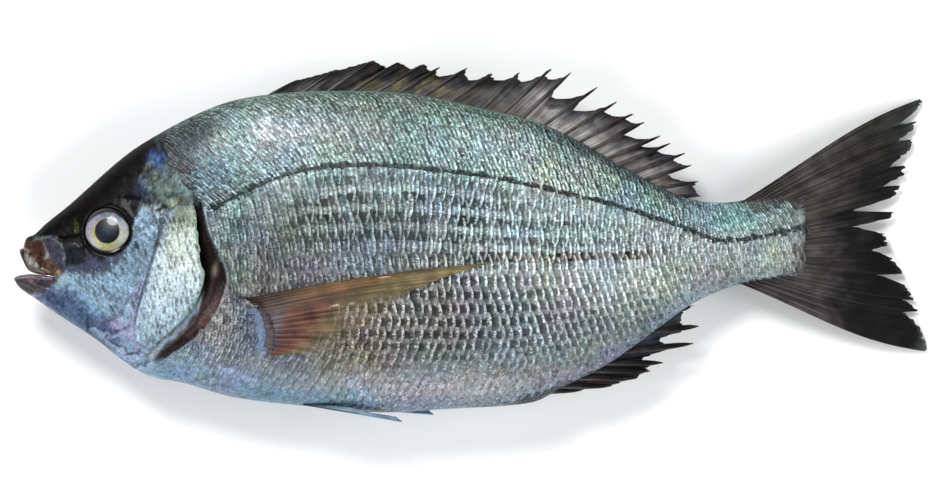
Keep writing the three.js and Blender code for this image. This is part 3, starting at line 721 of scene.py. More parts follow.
def tone(x, y):
    """Colour of the skin, linear, at points of the flank."""
    x, y = np.broadcast_arrays(x, y)
    loose_x, loose_y = x + 0.6 * noise(x, y, 2.3, 11), y + 0.6 * noise(x, y, 2.3, 12)
    patches = [
        (code, strength * blob(loose_x, loose_y, *place, PATCH_EDGE)) for _, *place, code, strength in PATCHES
    ]
    colour = layered(ramp(up_the_side(x, y), FLANK_BELTS), *patches)
    for seed, grain, tint in TINTS:
        colour = colour * (1 + noise(x, y, grain, seed)[..., None] * np.array(tint))
    ragged = 0.9 * noise(x, y, 0.45, 18) + 0.7 * noise(x, y, 1.1, 19)
    from_back, from_belly = y - along(BACK, x), y - along(BELLY, x)
    tail_root = step(34.8, 37.1, x + 0.09 * (y - 0.4) ** 2 + ragged)
    over_root = step(28.0, 31.0, x) * step(-0.4, 0.5, from_back + 1.6 + 0.4 * ragged)
    keel = step(0.9, 0.3, from_belly) * step(4.0, 5.5, x) * step(11, 9, x)
    sheath = step(-1.5, -0.5, from_back + 0.3 * ragged) * step(5, 11, x) * step(26, 22, x)
    colour = layered(colour, (FIN_ROOT, 0.96 * tail_root), (FIN_ROOT, 0.9 * over_root),
                     ("#14161c", 0.85 * keel), ("#27333c", 0.85 * sheath))
    head = x < HEAD_END
    if head.any():
        colour[head] = head_tone(colour[head], x[head], y[head])
    return np.clip(colour, 0, 1)


def head_tone(colour, x, y):
    """Colour of the head's skin over the flank's own colour."""
    near_x = x + 0.2 * noise(x, y, 0.6, 13) + 0.14 * noise(x, y, 0.25, 15)
    near_y = y + 0.2 * noise(x, y, 0.6, 14) + 0.14 * noise(x, y, 0.25, 16)
    patchy = (0.72 + 0.6 * noise(x, y, 0.4, 28) + 0.5 * noise(x, y, 0.2, 30)).clip(0, 1)
    areas = [(code, strength * inside(area, near_x, near_y, soft)) for area, code, strength, soft in AREAS]
    spots = [
        (code, strength * patchy * blob(near_x, near_y, *place, SPOT_EDGE))
        for *place, code, strength in SPOTS
    ]
    # Painted shade in the groove in front of the gill cover.
    groove_shade = crease(GILL_COVER_FRONT, 0.12, x, y) * step(-10.0, -7.5, y) * step(3.4, 2.0, y)
    folds = [
        # Painted shade along the cheek fold.
        ("#4d4a68", 0.7 * crease(CHEEK_FOLD, 0.2, near_x, near_y)),
        # Painted highlight just in front of the groove.
        ("#8f8bb0", 0.5 * crease(GILL_COVER_FRONT, 0.35, x + 0.5, y) * step(-2, -5, y)),
        ("#191b28", 0.85 * groove_shade),
    ]
    for line in THROAT_FOLDS:
        # Painted shade in each throat fold, and a painted highlight along its lower side.
        folds.append(("#2b3348", 0.85 * crease(line, 0.15, near_x, near_y)))
        folds.append(("#9aa9bd", 0.5 * crease(line, 0.25, near_x, near_y + 0.45)))
    # Painted shade in the temple fold.
    folds.append(("#0c0a0c", 0.9 * crease(TEMPLE_FOLD, 0.16, near_x, near_y)))
    colour = layered(colour, *areas, *spots, *folds)
    mottle = 0.35 * noise(x, y, 0.4, 37) + 0.25 * noise(x, y, 0.9, 38) + 0.4 * noise(x, y, 0.2, 39)
    mottle = mottle * mix(1, 0.4, step(-6, -11, y)) * (1 + 1.5 * blob(x, y, -34, 6.3, 3.2, 4.4, -30, 2))
    colour = layered(
        colour * (1 + mottle).clip(0.2)[..., None],
        ("#51627a", 0.85 * lobe(x, y)),
        # Lighter on the lobe's raised rear: its pale bare skin, with a painted highlight along the rear edge.
        ("#6f7f99", 0.8 * lobe(x, y) ** 2 * step(-24.2, -22.9, x)),
        ("#0d0a0d", step(1.22, 1.1, from_eye(x, y))),
    )
    t, there = gill_place(x, y)
    open_slit = there * step(-0.25, -0.05, t) * step(1.06, 0.96, t)
    return mix(colour, hollow_tone(t, x, y), open_slit[..., None])


def hollow_tone(t, x, y):
    """Colour inside the gill slit: dark flesh with painted shade, darkest under the cover's edge, dark
    ridges, the pale folded skin below and a red thread.
    """
    colour = ramp(t + 0.2 * noise(x, y, 0.7, 17), GILL_HOLLOW)
    lower = y + 0.5 * noise(x, y, 0.8, 20)
    colour = layered(colour, ("#554847", 0.85 * step(-4.0, -6.8, lower) * step(-10.4, -8.6, lower)))
    ridged = 0.4 * step(-2.0, -5.0, y) * np.cos(17 * t + 1.6 * noise(x, y, 1.3, 33))
    pale = ramp(t + 0.03 * np.cos(22 * t) + 0.12 * noise(x, y, 1.3, 26), FOLDED_SKIN)
    colour = mix(colour * (1 + ridged)[..., None], pale, membrane(t, y)[..., None])
    thread = np.exp(-(((t - 0.9 + 0.07 * noise(x, y, 0.6, 27)) / 0.05) ** 2))
    red = step(-5.0, -6.5, y) * step(-11.5, -9.5, y) * (0.6 + 0.5 * noise(x, y, 0.5, 29))
    return layered(colour, ("#6a3a2c", 0.75 * red.clip(0, 1) * thread),
                   ("#7d716b", blob(x, y, -27.9, -3.2, 0.3, 0.7, -10)))


# ---- Materials ----

WET, WATER = 1.38, 1.33  # index of refraction of wet skin and of the water on it
SMOOTH = {"interpolation_type": "SMOOTHSTEP"}  # a range mapped smoothly: value, from low, high, to low, high
PRODUCT = {"operation": "MULTIPLY"}
# What each scale stores: places on it, its luck, how strongly its painted shade and highlights show, its
# pigments, the kind of its strokes.
SCALE_NUMBERS = ("along", "across", "chance", "painted_shading", "below", "above", "line", "double", "tall", "warm")


def add(tree, kind, inputs=(), **settings):
    """Adds a node. Its inputs go by place or by name, and are linked where they are nodes or sockets."""
    made = tree.nodes.new(kind)
    for name, value in settings.items():
        setattr(made, name, value)
    for name, value in inputs.items() if isinstance(inputs, dict) else enumerate(inputs):
        if isinstance(value, bpy.types.Node):
            value = value.outputs[0]
        if isinstance(value, bpy.types.NodeSocket):
            tree.links.new(value, made.inputs[name])
        else:
            made.inputs[name].default_value = value
    return made


def start_material(name, *attributes):
    """A bare material and its tree, with the named numbers that its mesh stores."""
    material = bpy.data.materials.new(name)
    material.use_nodes = True
    tree = material.node_tree
    tree.nodes.clear()
    return material, tree, *(add(tree, "ShaderNodeAttribute", attribute_name=label) for label in attributes)


def rgba(name):
    return (*getattr(bpy.context.scene.bream_colours, name), 1.0)


def wet_skin():
    """Bare fish skin: thin, slimy and finely pigmented. Wet, it has a faint clear gloss."""
    material, tree, tone = start_material("Wet_fish_skin", "tone")
    places = add(tree, "ShaderNodeTexCoord").outputs["Object"]
    fine = add(tree, "ShaderNodeTexNoise", {"Vector": places, "Scale": 1 / (0.9 * MM), "Detail": 4.0})
    folds = add(tree, "ShaderNodeTexNoise", {"Vector": places, "Scale": 1 / (3.0 * MM), "Detail": 4.0})
    spots = add(tree, "ShaderNodeMapRange", (fine, 0.35, 0.68, 0.74, 1.26), **SMOOTH)
    height = add(tree, "ShaderNodeMath", (fine, folds), operation="ADD")
    bump = add(tree, "ShaderNodeBump", {"Height": height, "Strength": 0.35, "Distance": 0.0003})
    shader = add(tree, "ShaderNodeBsdfPrincipled", {
        "Base Color": add(tree, "ShaderNodeVectorMath", (tone, spots), **PRODUCT),
        "Roughness": add(tree, "ShaderNodeMapRange", (folds, 0.3, 0.7, 0.25, 0.42), **SMOOTH),
        "IOR": WET, "Specular IOR Level": 0.12, "Coat Weight": 0.1, "Coat Roughness": 0.12, "Coat IOR": WATER,
        "Normal": bump,
    })
    add(tree, "ShaderNodeOutputMaterial", {"Surface": shader})
    return material


def scale_strokes(tree, place, height, fine, tall, double):
    """A scale's bright rim, and it together with the second bright stroke half a scale in front of it, both
    as painted highlights over the scale's silver.

    The second stroke shows where `double` is 1. The strokes fade at the scale's ends and are finely broken.
    """
    rim_front = add(tree, "ShaderNodeMapRange", (place, 0.83, 0.9, 0.0, 1.0), **SMOOTH)
    rim_rear = add(tree, "ShaderNodeMapRange", (place, 0.98, 1.05, 1.0, 0.1), **SMOOTH)
    rim = add(tree, "ShaderNodeMath", (rim_front, rim_rear), **PRODUCT)
    stroke_front = add(tree, "ShaderNodeMapRange", (place, 0.57, 0.63, 0.0, 0.85), **SMOOTH)
    stroke_rear = add(tree, "ShaderNodeMapRange", (place, 0.69, 0.76, 1.0, 0.0), **SMOOTH)
    stroke = add(tree, "ShaderNodeMath", (stroke_front, stroke_rear), **PRODUCT)
    stroke = add(tree, "ShaderNodeMath", (stroke, double), **PRODUCT)
    # Painted highlight: the rim, or the second stroke where it is brighter.
    bright = add(tree, "ShaderNodeMath", (rim, stroke), operation="MAXIMUM")
    from_end = add(tree, "ShaderNodeMath", (tall, -0.2, height), operation="MULTIPLY_ADD")
    fade = add(tree, "ShaderNodeMapRange", (from_end, 0.25, 0.66, 1.0, 0.15), **SMOOTH)
    bright = add(tree, "ShaderNodeMath", (bright, fade), **PRODUCT)
    broken = add(tree, "ShaderNodeMapRange", (fine, 0.39, 0.57, 0.14, 1.28), **SMOOTH)
    bright = add(tree, "ShaderNodeMath", (bright, broken), use_clamp=True, **PRODUCT)
    return rim, bright


def scale_pigment(tree, across_it, height, fine, rim, below, above, line):
    """Dark pigment: at a scale's upper and lower ends in the stripes, in its middle on the lateral line."""
    lower = add(tree, "ShaderNodeMapRange", (across_it, -0.18, -0.42, 0.0, 1.03), **SMOOTH)
    upper = add(tree, "ShaderNodeMapRange", (across_it, 0.18, 0.42, 0.0, 1.03), **SMOOTH)
    centre = add(tree, "ShaderNodeMapRange", (height, 0.95, 0.6, 0.0, 1.0), **SMOOTH)
    lower = add(tree, "ShaderNodeMath", (lower, below), **PRODUCT)
    upper = add(tree, "ShaderNodeMath", (upper, above), **PRODUCT)
    beaded = add(tree, "ShaderNodeMapRange", (fine, 0.38, 0.54, 0.5, 1.0), **SMOOTH)
    centre = add(tree, "ShaderNodeMath", (centre, line), **PRODUCT)
    centre = add(tree, "ShaderNodeMath", (centre, beaded), **PRODUCT)
    pigment = add(tree, "ShaderNodeMath", (lower, upper), operation="MAXIMUM")
    rest = add(tree, "ShaderNodeMath", (rim, -0.68, 1.0), operation="MULTIPLY_ADD")
    pigment = add(tree, "ShaderNodeMath", (pigment, rest), use_clamp=True, **PRODUCT)
    pigment = add(tree, "ShaderNodeMath", (pigment, centre), operation="MAXIMUM", use_clamp=True)
    return pigment


def silvered_scale(name, contrast):
    """Horny scale over a silver layer: painted shade in front, under the edge of the scale ahead, a painted
    highlight on its silver rim behind, and wet gloss.

    Along a scale, 0 is its hidden front and 1 its rear edge; about half of it shows.
    """
    material, tree, tone, *numbers = start_material(name, "tone", *SCALE_NUMBERS)
    along_it, across_it, chance, painted_shading, below, above, line, double, tall, warm = numbers
    places = add(tree, "ShaderNodeTexCoord").outputs["Object"]
    fine = add(tree, "ShaderNodeTexNoise", {"Vector": places, "Scale": 1 / (0.7 * MM), "Detail": 4.0})
    coarse = add(tree, "ShaderNodeTexNoise", {"Vector": places, "Scale": 1 / (1.7 * MM), "Detail": 2.0})
    centred = add(tree, "ShaderNodeMath", (fine, 0.5), operation="SUBTRACT")
    jagged = add(tree, "ShaderNodeMath", (tall, -0.3, 0.62), operation="MULTIPLY_ADD")
    shift = add(tree, "ShaderNodeMath", (centred, jagged), **PRODUCT)
    place = add(tree, "ShaderNodeMath", (along_it, shift), operation="ADD")
    height = add(tree, "ShaderNodeMath", (across_it,), operation="ABSOLUTE")
    rim, bright = scale_strokes(tree, place, height, fine, tall, double)
    # Painted shade: darker towards the hidden front, where the scale ahead overlaps.
    body = add(tree, "ShaderNodeMapRange", (place, 0.5, 0.95, 0.1, 0.36), **SMOOTH)
    lighter = add(tree, "ShaderNodeMath", (tall, -0.75, 2.35), operation="MULTIPLY_ADD")
    ends = add(tree, "ShaderNodeMapRange", (height, 0.22, 0.6, 1.0, lighter), **SMOOTH)
    body = add(tree, "ShaderNodeMath", (body, ends), **PRODUCT)
    level = add(tree, "ShaderNodeMath", (bright, 1.5, body), operation="MULTIPLY_ADD")
    # How strongly this scale's painted shade and highlights show.
    depth = add(tree, "ShaderNodeMath", (painted_shading, contrast), use_clamp=True, **PRODUCT)
    level = add(tree, "ShaderNodeMath", (level, 0.75), operation="SUBTRACT")
    level = add(tree, "ShaderNodeMath", (level, depth, 0.75), operation="MULTIPLY_ADD")
    lucky = add(tree, "ShaderNodeMapRange", (chance, 0.0, 1.0, 0.82, 1.18))
    cloud = add(tree, "ShaderNodeMapRange", (coarse, 0.38, 0.62, 0.66, 1.34), **SMOOTH)
    level = add(tree, "ShaderNodeMath", (level, lucky), **PRODUCT)
    level = add(tree, "ShaderNodeMath", (level, cloud), **PRODUCT)
    silvering = add(tree, "ShaderNodeMath", (bright, 0.1), **PRODUCT)
    silvered = add(tree, "ShaderNodeMix", {0: silvering, 6: tone, 7: rgba("silver")}, data_type="RGBA")
    lit = add(tree, "ShaderNodeVectorMath", (silvered.outputs[2], level), **PRODUCT)
    pigment = scale_pigment(tree, across_it, height, fine, rim, below, above, line)
    behind = add(tree, "ShaderNodeMapRange", (place, 0.66, 0.76, 0.0, 1.0), **SMOOTH)
    brown = add(tree, "ShaderNodeMath", (behind, warm), **PRODUCT)
    stripe, rear = rgba("stripe"), rgba("brown_stripe")
    dark = add(tree, "ShaderNodeMix", {0: brown, 6: stripe, 7: rear}, data_type="RGBA")
    colour = add(tree, "ShaderNodeMix", {0: pigment, 6: lit, 7: dark.outputs[2]}, data_type="RGBA")
    shader = add(tree, "ShaderNodeBsdfPrincipled", {
        "Base Color": colour.outputs[2], "Metallic": 0.15, "IOR": WET, "Coat Weight": 0.3,
        "Roughness": add(tree, "ShaderNodeMapRange", (chance, 0.0, 1.0, 0.32, 0.48)),
        "Coat Roughness": 0.22, "Coat IOR": WATER,
    })
    add(tree, "ShaderNodeOutputMaterial", {"Surface": shader})
    return material


def fin_web(name, lines, wet=0.1, see_through=False):
    """Fin web: thin wet skin over bony rays. Fine light lines run out along it, frayed dark."""
    material, tree, tone, ray, reach = start_material(name, "tone", "ray", "reach")
    across_rays = add(tree, "ShaderNodeMath", (ray, lines), **PRODUCT)
    place = add(tree, "ShaderNodeCombineXYZ", (across_rays, reach))
    streak = add(tree, "ShaderNodeTexNoise", {"Vector": place, "Scale": 1.0, "Detail": 7.0, "Roughness": 0.7})
    cloud = add(tree, "ShaderNodeTexNoise", {
        "Vector": add(tree, "ShaderNodeTexCoord").outputs["Object"], "Scale": 1 / (6.0 * MM), "Detail": 4.0})
    lit = add(tree, "ShaderNodeMapRange", (streak, 0.34, 0.68, 0.45, 1.75), **SMOOTH)
    mottle = add(tree, "ShaderNodeMapRange", (cloud, 0.35, 0.65, 0.72, 1.28), **SMOOTH)
    level = add(tree, "ShaderNodeMath", (lit, mottle), **PRODUCT)
    shader = add(tree, "ShaderNodeBsdfPrincipled", {
        "Base Color": add(tree, "ShaderNodeVectorMath", (tone, level), **PRODUCT),
        "Roughness": add(tree, "ShaderNodeMapRange", (streak, 0.3, 0.7, 0.5, 0.32), **SMOOTH),
        "IOR": WET, "Specular IOR Level": 0.22, "Coat Weight": wet, "Coat Roughness": 0.12, "Coat IOR": WATER,
        "Normal": add(tree, "ShaderNodeBump", {"Height": streak, "Strength": 0.6, "Distance": 0.0004}),
    })
    if see_through:
        veil = add(tree, "ShaderNodeAttribute", attribute_name="veil")
        tree.links.new(veil.outputs["Fac"], shader.inputs["Alpha"])
    add(tree, "ShaderNodeOutputMaterial", {"Surface": shader})
    return material


def mottled(tree, tone, millimetres, low, high):
    """A cloudy pattern of a size in millimetres, and the tone made darker and lighter by it."""
    places = add(tree, "ShaderNodeTexCoord").outputs["Object"]
    cloud = add(tree, "ShaderNodeTexNoise", {
        "Vector": places, "Scale": 1 / (millimetres * MM), "Detail": 4.0})
    level = add(tree, "ShaderNodeMapRange", (cloud, 0.3, 0.7, low, high), **SMOOTH)
    return cloud, add(tree, "ShaderNodeVectorMath", (tone, level), **PRODUCT)


def wet_flesh(name, millimetres, roughness, coat):
    """Wet lips and fin bones: painted tones with a slight mottle under a clear gloss."""
    material, tree, tone = start_material(name, "tone")
    cloud, colour = mottled(tree, tone, millimetres, 0.65, 1.35)
    shader = add(tree, "ShaderNodeBsdfPrincipled", {
        "Base Color": colour, "Roughness": roughness, "IOR": WET, "Specular IOR Level": 0.3,
        "Coat Weight": coat, "Coat Roughness": 0.06, "Coat IOR": WATER,
        "Normal": add(tree, "ShaderNodeBump", {"Height": cloud, "Strength": 0.3, "Distance": 0.0003}),
    })
    add(tree, "ShaderNodeOutputMaterial", {"Surface": shader})
    return material


def eye_surface():
    """Fish eye: painted iris and pupil under a clear wet cornea, which gives a mirror-like glint."""
    material, tree, tone = start_material("Wet_fish_eye_cornea", "tone")
    _, colour = mottled(tree, tone, 0.7, 0.75, 1.2)
    shader = add(tree, "ShaderNodeBsdfPrincipled", {
        "Base Color": colour, "Roughness": 0.35, "IOR": WET, "Coat Weight": 0.8, "Coat Roughness": 0.015,
        "Coat IOR": WATER,
    })
    add(tree, "ShaderNodeOutputMaterial", {"Surface": shader})
    return material


# ---- Properties ----


def length(name, description, millimetres):
    return bpy.props.FloatProperty(
        name=name, description=description, default=millimetres * MM, unit="LENGTH", precision=5
    )


def colour_of(name, description, code):
    return bpy.props.FloatVectorProperty(
        name=name, description=description, default=linear(code), subtype="COLOR", size=3, min=0, max=1
    )


class BreamSizes(bpy.types.PropertyGroup):
    """Sizes of the fish's surface."""

    thickness: length("Thickness", "Flank to flank at the widest place", 37)
    pressed: length("Pressed", "How much of the lower flank is pressed flat", 1.2)
    scale_rise: length("Scale rise", "How far a scale's rear edge stands up", 0.4)
    scale_edge: length("Scale edge", "Depth of a scale's rear edge", 0.22)
    gill_depth: length("Gill depth", "Depth of the open gill slit", 3.6)
    gill_cover_rise: length("Gill cover rise", "How far the gill cover's rear edge stands proud", 1.2)
    eye_radius: length("Eye radius", "Radius of the eye's visible disc", 7.9)
    fin_sag: length("Fin sag", "How far a spread fin's edge hangs", 2.2)
    side_fin_rise: length("Side fin rise", "How far the side fin lies over the scales", 1.3)
    eye_x: bpy.props.FloatProperty(
        name="Eye X", description="Eye's middle, in percent of the length", default=-39.65
    )
    eye_y: bpy.props.FloatProperty(
        name="Eye Y", description="Eye's middle, in percent of the length", default=1.1
    )


class BreamColours(bpy.types.PropertyGroup):
    """Colours of the scales, the stripes, the pupil and the floor."""

    stripe: colour_of("Stripe", "Dark pigment of the stripes and the lateral line", "#1a2020")
    brown_stripe: colour_of("Brown stripe", "Pigment of the lowest stripe's rear half", "#695b4b")
    silver: colour_of("Silver", "Bright edge of a scale", "#b4bfbd")
    pupil: colour_of("Pupil", "Pupil of the eye", "#060d17")
    # The lens's grey in the pupil also stands for a painted reflection.
    lens: colour_of("Lens", "Lens seen through the pupil", "#283641")
    floor: colour_of("Floor", "Pale floor", "#f7f8f9")


# ---- Skin ----

HEAD_RINGS, BODY_RINGS, SKIN_AROUND = 320, 75, 244  # rings of points along the skin, and points on each
JAW_RINGS, JAW_AROUND = 70, 60


def section_ring(x, top, bottom, half, around, formed):
    """Closed lens-like rings along X, in millimetres."""
    angle = np.linspace(0, 2 * math.pi, around, endpoint=False)[None, :]
    widest = mix(bottom, top, WIDEST_LINE)
    up, out = np.sin(angle), np.cos(angle)
    y = widest + up * np.where(up > 0, top - widest, widest - bottom)
    z = half * np.abs(out) ** (2 * np.where(up > 0, BACK_CURVE, BELLY_CURVE))
    x = np.broadcast_to(x, y.shape)
    if formed:
        z = z + relief(x, y) * np.abs(out) ** 0.5
    height = np.maximum(mid_plane(x) + np.sign(out) * z, floor_gap())
    return np.stack([x * UNIT_MM, y * UNIT_MM, height], -1)


def loft(name, x, section, around, material, formed=False):
    """Closed skin over the rings at each x. `section(x)` gives top, bottom and half thickness."""
    rings = section_ring(x[:, None], *section(x[:, None]), around, formed)
    return face_outward(make_mesh(name, rings * MM, closed_faces(len(x), around), material))


def cut_mouth(skin):
    """Opens the mouth: takes the wedge between the jaws out of the skin."""
    wedge = [(x * UNIT_MM, y * UNIT_MM) for x, y in MOUTH]
    low, high = 0.5, 40.0
    points = [(x, y, z) for z in (low, high) for x, y in wedge]
    count = len(wedge)
    sides = [[i, (i + 1) % count, (i + 1) % count + count, i + count] for i in range(count)]
    faces = sides + [list(range(count))[::-1], list(range(count, 2 * count))]
    cutter = face_outward(make_mesh("mouth_wedge", np.array(points) * MM, faces, skin.active_material))
    cut = skin.modifiers.new("Mouth", "BOOLEAN")
    cut.operation, cut.solver, cut.object = "DIFFERENCE", "MANIFOLD", cutter
    bpy.context.view_layer.objects.active = skin
    bpy.ops.object.modifier_apply(modifier=cut.name)
    bpy.data.objects.remove(cutter)


class BREAM_OT_skin(bpy.types.Operator):
    """Makes the bare skin: the head, and the body under the scales"""

    bl_idname = "bream.skin"
    bl_label = "Skin"

    def execute(self, context):
        material = wet_skin()
        half = lambda x: sizes().thickness / MM / 2 * along(SWELL, x)
        section = lambda x: (along(BACK, x), along(BELLY, x), half(x))
        head = np.linspace(BACK[0][0], HEAD_END, HEAD_RINGS)
        x = np.r_[head, np.linspace(HEAD_END, BACK[-1][0], BODY_RINGS)[1:]]
        skin = loft("skin", x, section, SKIN_AROUND, material, formed=True)
        cut_mouth(skin)
        paint(skin, "tone", tone(*places_of(skin)))
        dress(skin, "skin", NODE_FISH)
        jaw_section = lambda x: (along(JAW_TOP, x), along(JAW_UNDER, x), along(JAW_HALF, x) * UNIT_MM)
        x = np.linspace(JAW_TOP[0][0], JAW_TOP[-1][0], JAW_RINGS)
        jaw = loft("lower_jaw", x, jaw_section, JAW_AROUND, material)
        paint(jaw, "tone", tone(*places_of(jaw)))
        dress(jaw, "skin")
        return {"FINISHED"}


# ---- Scales ----

SCALE_COVER = 1.42  # height of a scale, in rows, so that it overlaps the rows beside it
SCALE_LENGTH = 1.95  # length of a scale, in pitches, of which about half shows
REAR_BOW = 0.24  # how far the ends of a scale's rear edge lie in front of its middle, in pitches
FRONT_TAPER = 0.12  # how much lower a scale is at its hidden front, as a share
FRONT_SUNK = 0.1  # how deep its front is sunk into the skin, in millimetres
# Random changes of a scale: in size, in tilt, in place along and across its row, and in turn, in radians.
LUCK_SIZE, LUCK_TILT, LUCK_ALONG, LUCK_ACROSS, LUCK_TURN = 0.07, 0.22, 0.08, 0.05, 0.08
# How far scales lean to the tail for each step up, above, below and on the lateral line: to the head here.
LEAN_ABOVE, LEAN_BELOW, LEAN_LINE = -0.55, -0.06, -0.4
LINE_ROW = 0.86  # height of the lateral line's row, in percent
ROW_ENDS = (-37, 37.5)  # where rows start and stop, before they are cut to the scaly skin
NO_STRIPE = [(-40, 0), (40, 0)]


def even_places(spacing, start, stop, phase):
    """Places from start to stop, each one local spacing after the last."""
    fine = np.linspace(start, stop, 3000)
    count = np.cumsum(np.r_[0, np.diff(fine) / along(spacing, fine[1:])])
    return np.interp(np.arange(phase, count[-1]), count, fine)


def line_y(x):
    """The lateral line, run on forward to the head and back to the tail."""
    start, end = LATERAL_LINE[0], LATERAL_LINE[-1]
    middle = along(LATERAL_LINE, x)
    return np.where(x < start[0], start[1] + 0.5 * (x - start[0]),
                    np.where(x > end[0], end[1] + 0.1 * (x - end[0]), middle))


def as_rows(*columns):
    """Columns of numbers, some of them one for all, as a row for each scale."""
    return np.stack(np.broadcast_arrays(*columns), -1)


def scale_row(centre, spacing, odd, keep, lean, below=NO_STRIPE, above=NO_STRIPE, line=0, held=0):
    """One row of scales along a centre line y = centre(x), with its pigments.

    `held` is 1 for a row that stays above the lateral line and -1 for one that stays below it.
    """
    x = even_places(PITCH, *ROW_ENDS, 0.5 * odd)
    y = centre(x)
    slope = centre(x + 0.5) - centre(x - 0.5)
    broken = (0.85 + 0.3 * noise(x, y, 2.6, 42)).clip(0, 1.1)
    row = as_rows(x, y, spacing(x), along(PITCH, x), slope, lean(x, y),
                  along(below, x) * broken, along(above, x) * broken, line, held)
    return row[keep(x, y)]


def body_scales():
    """Every scale of one flank, as rows of x, y, spacing, pitch, slope, lean and pigments."""
    def on_body(x, y):
        ragged = 0.35 * noise(x, y, 0.6, 43)
        ends = (x > along(SCALES_FROM, y)) & (x < along(SCALES_TO, y) + ragged)
        smooth = (lobe(x, y) > 0.5) & (x > along(LOBE_EDGE, y) - 1.3)
        bare = smooth | (lobe(x - 0.6, y) > 0.3) & (lobe(x, y) < 0.1)
        return ends & (np.abs(share_of_depth(x, y)) < 1.12) & ~bare

    rows = []
    above_row = lambda x: along(ROW_ABOVE_LINE, x)
    for row in range(1, ROWS_ABOVE + 1):
        centre = lambda x, row=row: line_y(x) + (row - 0.2) * above_row(x)
        rows.append(scale_row(centre, above_row, row % 2, on_body, lambda x, y: LEAN_ABOVE, held=1))
    middle = lambda x: along(MIDDLE_ROW, x)
    below_row = lambda x: along(ROW_BELOW_LINE, x)
    under_line = lambda x, y: on_body(x, y) & (y < line_y(x) + 0.3 * below_row(x))
    stripe = lambda k: STRIPES[k] if k < len(STRIPES) else NO_STRIPE
    for row in range(ROWS_BELOW):
        centre = lambda x, row=row: middle(x) + (row + 0.5) * below_row(x)
        rows.append(scale_row(centre, below_row, row % 2, under_line, lambda x, y: LEAN_BELOW,
                              stripe(row), stripe(row + 1), held=-1))
    lean = lambda x, y: mix(0.3, -0.12, step(-16, -6, y))
    place = 0.0
    for row in range(ROWS_LOW):
        width = 1 - LOW_ROW_SHRINK * min(row, LAST_SHRINK)
        centre = lambda x, p=place + width / 2: middle(x) - p * along(ROW_LOW, x)
        spacing = lambda x, width=width: width * along(ROW_LOW, x)
        rows.append(scale_row(centre, spacing, (row + 1) % 2, on_body, lean,
                              above=STRIPES[0] if row == 0 else NO_STRIPE, held=-1))
        place += width
    return np.concatenate(rows)


def lateral_scales():
    """The row of pored scales along the lateral line."""
    keep = lambda x, y: (x > LATERAL_LINE[0][0]) & (x < LATERAL_LINE[-1][0] + 1.4)
    return scale_row(line_y, lambda x: LINE_ROW, 0, keep, lambda x, y: LEAN_LINE, line=1)


def small_scales(outline, turn):
    """Fine scales of the cheek or the gill cover, inside an outline, in rows turned by degrees."""
    c, s = math.cos(math.radians(turn)), math.sin(math.radians(turn))
    middle = np.mean(outline, axis=0)
    each_way, rows_each_way = 24, 14
    found = []
    for row in range(-rows_each_way, rows_each_way + 1):
        u = (np.arange(-each_way, each_way + 1) + 0.5 * (row % 2)) * CHEEK_PITCH
        v = row * CHEEK_ROW
        x, y = middle[0] + c * u - s * v, middle[1] + s * u + c * v
        found.append(as_rows(x, y, CHEEK_ROW, CHEEK_PITCH, math.tan(math.radians(turn)), 0, 0, 0, 0, 0))
    found = np.concatenate(found)
    kept = inside(outline, found[:, 0], found[:, 1], 0.2) > 0.6
    return found[kept]


def painted_shading_depth(x, y):
    """How strongly the painted shade and highlights of the scales show: strong on the back and low in front,
    faint on the belly.
    """
    depth = 0.66 + 0.36 * blob(x, y, -2, -7.5, 16, 6, 8, 2) + 0.25 * step(-0.4, 0.4, y - line_y(x))
    depth = depth - 0.18 * blob(x, y, 11, -3.5, 9, 4, -8, 2) + 0.1 * noise(x, y, 3, 41)
    depth = depth - 0.2 * step(22, 28, x) - 0.7 * step(34.2, 36.5, x)
    return depth * mix(mix(0.2, 0.8, step(-17, -9, x)), 1, step(0.05, 0.22, up_the_side(x, y)))


